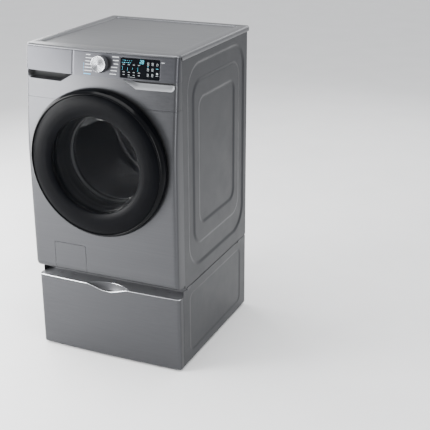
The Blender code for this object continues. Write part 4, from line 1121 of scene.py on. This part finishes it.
def pedestal():
    """The pedestal: its drawer front with the swoop and a bright lip line that is a painted highlight, and the
    cabinet round it.
    """
    low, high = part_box("pedestal_drawer_front")
    radius, back, edge = 0.014, high.y, 0.004
    span = PED_HALF - radius
    low_turns = [math.radians(a) for a in (0, 30, 60, 90)]
    top_turns = [math.radians(a) for a in (0, 22.5, 45, 67.5)]
    levels = [(low.z + edge * (1 - math.cos(a)), edge * (1 - math.sin(a))) for a in low_turns]
    levels += [(z, 0.0) for z in heights(0.014, LIP - 0.0045, 30)]
    levels += [(LIP - edge + edge * math.sin(a), edge - edge * math.cos(a)) for a in top_turns]
    rows = []
    for z, tuck in levels:
        cy = pedestal_y(span) + radius
        side = [(PED_HALF, back, z), (PED_HALF, (back + cy) / 2, z)]
        for a in (math.radians(90 - 9 * i) for i in range(10)):
            side.append((span + radius * math.sin(a), cy - radius * math.cos(a) + tuck * math.cos(a), z))
        middle = [(x, pedestal_y(x) + tuck, z) for x in heights(-span, span, 64)]
        rows.append([(-x, y, z) for x, y, z in side] + middle + side[::-1])
    outline = swoop_outline()
    cutter = outline + [(outline[-1][0], LIP + 0.02), (outline[0][0], LIP + 0.02)]
    mesh = sheet(rows, FORWARD, 0.0025, [block(cutter, -0.40, -0.30)])
    piece(mesh, "pedestal_drawer_fascia", "brushed_platinum", "pedestal_drawer_front", body="pedestal_drawer")

    inset, below, lip_radius = 0.0013, 0.0016, 0.0017
    lip = [(x, pedestal_y(x) + inset, z - below / 2) for x, z in outline]
    bend_y = pedestal_y(span) + radius + inset
    left = [(-span - radius * math.sin(a), bend_y - radius * math.cos(a), LIP - below)
            for a in (math.radians(9 * k) for k in range(9, 0, -1))]
    left += [(x, pedestal_y(x) + inset, LIP - below) for x in heights(-span, -0.108, 20)]
    right = [(-x, y, z) for x, y, z in reversed(left)]
    # the lip rod is far lighter than the drawer front: a painted highlight along the rolled top edge
    mesh = rod(left + lip[1:-1] + right, lip_radius)
    piece(mesh, "pedestal_lip_line", "brushed_platinum", body="pedestal_drawer", look="painted_highlight_edge")
    grip_pocket()

    low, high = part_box("pedestal_cabinet")
    wall, inner = 0.0018, high.x - 0.0023
    rings = [((-0.235, 0.310, 0.050, 0.318, 0.030), 0.0022, 0.008)]
    for name, sign in (("left", -1), ("right", 1)):
        mesh = embossed_side(sign, high.x, low, high, (120, 90), rings, wall)
        # the pedestal's sides get the darker copy of the cabinet paint: painted shade
        piece(mesh, f"pedestal_side_{name}", "painted_grey", look="side_paint_painted_shade", sharp=60)
    rows = []
    for z in heights(low.z, high.z, 60):
        row = []
        for x in heights(-inner, inner, 100):
            pressed = step(inside_rounded(x, z, -0.28, 0.28, 0.06, 0.31, 0.03), 0.010)
            row.append((x, high.y - 0.0020 * pressed, z))
        rows.append(row)
    mesh = sheet(rows, BACKWARD, wall)
    # the pedestal's rear sheet also gets the darker, painted-shade copy of the cabinet paint
    piece(mesh, "pedestal_rear_sheet", "painted_grey", look="side_paint_painted_shade", sharp=60)
    rows = [[(x, y, low.z + 0.0002) for x in heights(-inner, inner, 8)]
            for y in heights(low.y, high.y - 0.0045, 8)]
    mesh = sheet(rows, (0, 0, -1), wall)
    piece(mesh, "pedestal_floor_sheet", "painted_grey", "pedestal_cabinet")
    brackets()


def grip_pocket():
    """The rounded pocket in the ledge behind the drawer's swoop, with its front edge as a bright rod: a painted
    highlight.
    """
    pocket_y, half, ledge_z = -0.300, 0.098, 0.3375
    reach = pocket_y - (PED_FRONT + PED_BOW + 0.004)
    sweep = (half ** 2 + reach ** 2) / (2 * reach)
    spread = math.degrees(math.asin(half / sweep))
    eye = arc(0, pocket_y - sweep, sweep, 90 - spread, 90 + spread, 40)[2:-2]
    # a light rod along the pocket's front edge: painted highlight
    edge = rod([(x, y - 0.0002, ledge_z - 0.0004) for x, y in eye], 0.0008)
    piece(edge, "pocket_edge_line", "dark_ledge", look="painted_highlight_edge")
    rows = []
    for t in heights(0.0, 1.0, 8):
        drop, turn = 0.0036 + 0.030 * math.sin(t * math.pi / 2), 1 - math.cos(t * math.pi / 2)
        rows.append([(x * (1 - 0.05 * t), y - 0.0012 - 0.010 * turn, ledge_z - drop) for x, y in eye])
    piece(sheet(rows, FORWARD, 0.0008), "grip_pocket_liner", "dark_ledge")


def brackets():
    """Small stacking brackets in the gap between the washer and its pedestal."""
    low, high, half = 0.3485, 0.3655, 0.016
    for column, sign in (("left", -1), ("right", 1)):
        for row, y in (("front", -0.250), ("rear", 0.300)):
            outline = eased([(y - half, low), (y + half, low), (y + half, high), (y - half, high)], 2, 0.2)
            inner, outer = sorted((sign * 0.3392, sign * 0.3410))
            mesh = prism(outline, inner, outer, "X")
            piece(mesh, f"stack_tab_{row}_{column}", "dark_grey_plastic")


# ---- camera, floor and light ---------------------------------------------------------------
def stage():
    """A pale floor, the softboxes round the machine, and an even sky."""
    m = Nodes("pale_floor", 0.6)
    m.colour(m.ramp(m.noise((3.0,) * 3, 3.0), [(0.3, (0.84,) * 3), (0.7, (0.87,) * 3)]))
    bm = bmesh.new()
    bmesh.ops.create_grid(bm, x_segments=8, y_segments=8, size=30.0)
    floor = scratch(mesh_from(bm), "floor")
    floor.data.materials.append(m.material)
    floor.location.z = -0.0005

    def softbox(name, place, towards, width, height, power):
        light = bpy.data.lights.new(name, "AREA")
        light.shape, light.size, light.size_y, light.energy = "RECTANGLE", width, height, power
        obj = bpy.data.objects.new(name, light)
        obj.location = place
        obj.rotation_euler = (Vector(towards) - Vector(place)).to_track_quat("-Z", "Y").to_euler()
        bpy.context.scene.collection.objects.link(obj)
    middle = (0, 0, 0.8)
    softbox("overhead", (0.0, -0.6, 3.6), middle, 2.6, 2.2, 110)
    softbox("key_left", (-2.5, -2.0, 1.75), (-0.2, -0.3, 1.1), 1.2, 1.2, 130)
    softbox("low_left", (-1.80, -2.2, 0.80), (-0.2, -0.35, 1.15), 1.1, 0.9, 78)
    softbox("edge_right", (3.0, -1.9, 1.4), (0.3, -0.3, 0.8), 0.7, 2.6, 60)
    softbox("edge_left", (-2.8, 0.1, 1.2), (-0.3, -0.3, 0.8), 2.2, 2.2, 150)
    softbox("rear_left", (-2.8, 2.4, 2.0), (-0.3, 0.0, 1.2), 1.2, 1.4, 60)
    softbox("rear", (0.9, 3.8, 2.4), middle, 2.4, 2.4, 45)

    lamp = bpy.data.lights.new("drum_lamp", "POINT")
    lamp.energy, lamp.shadow_soft_size = 0.55, 0.04
    holder = bpy.data.objects.new("drum_lamp", lamp)
    holder.location = (-0.09, -0.150, AXIS_Z + 0.10)
    bpy.context.scene.collection.objects.link(holder)

    world = bpy.data.worlds.new("studio")
    world.use_nodes = True
    sky = world.node_tree.nodes["Background"]
    sky.inputs["Color"].default_value = (0.95, 0.96, 0.98, 1.0)
    sky.inputs["Strength"].default_value = 1.1
    bpy.context.scene.world = world


def camera():
    """The viewpoint of the photograph, as fitted to it."""
    azimuth, elevation, roll = math.radians(23.79), math.radians(21.32), math.radians(-0.14)
    data = bpy.data.cameras.new("camera")
    data.lens, data.sensor_width, data.clip_end = 79.9, 36.0, 100.0
    obj = bpy.data.objects.new("camera", data)
    back = Vector((math.sin(azimuth) * math.cos(elevation), -math.cos(azimuth) * math.cos(elevation),
                   math.sin(elevation)))
    target, distance = Vector((0.506, -0.355, 0.747)), 3.688
    obj.location = target + back * distance
    facing = back.to_track_quat("Z", "Y").to_matrix().to_4x4()
    obj.rotation_euler = (facing @ Matrix.Rotation(roll, 4, "Z")).to_euler()
    bpy.context.scene.collection.objects.link(obj)
    bpy.context.scene.camera = obj


camera()
stage()
front_sheets()
recess_scoops()
control_band()
lid()
sides()
rear()
door()
gasket()
drum()
pedestal()
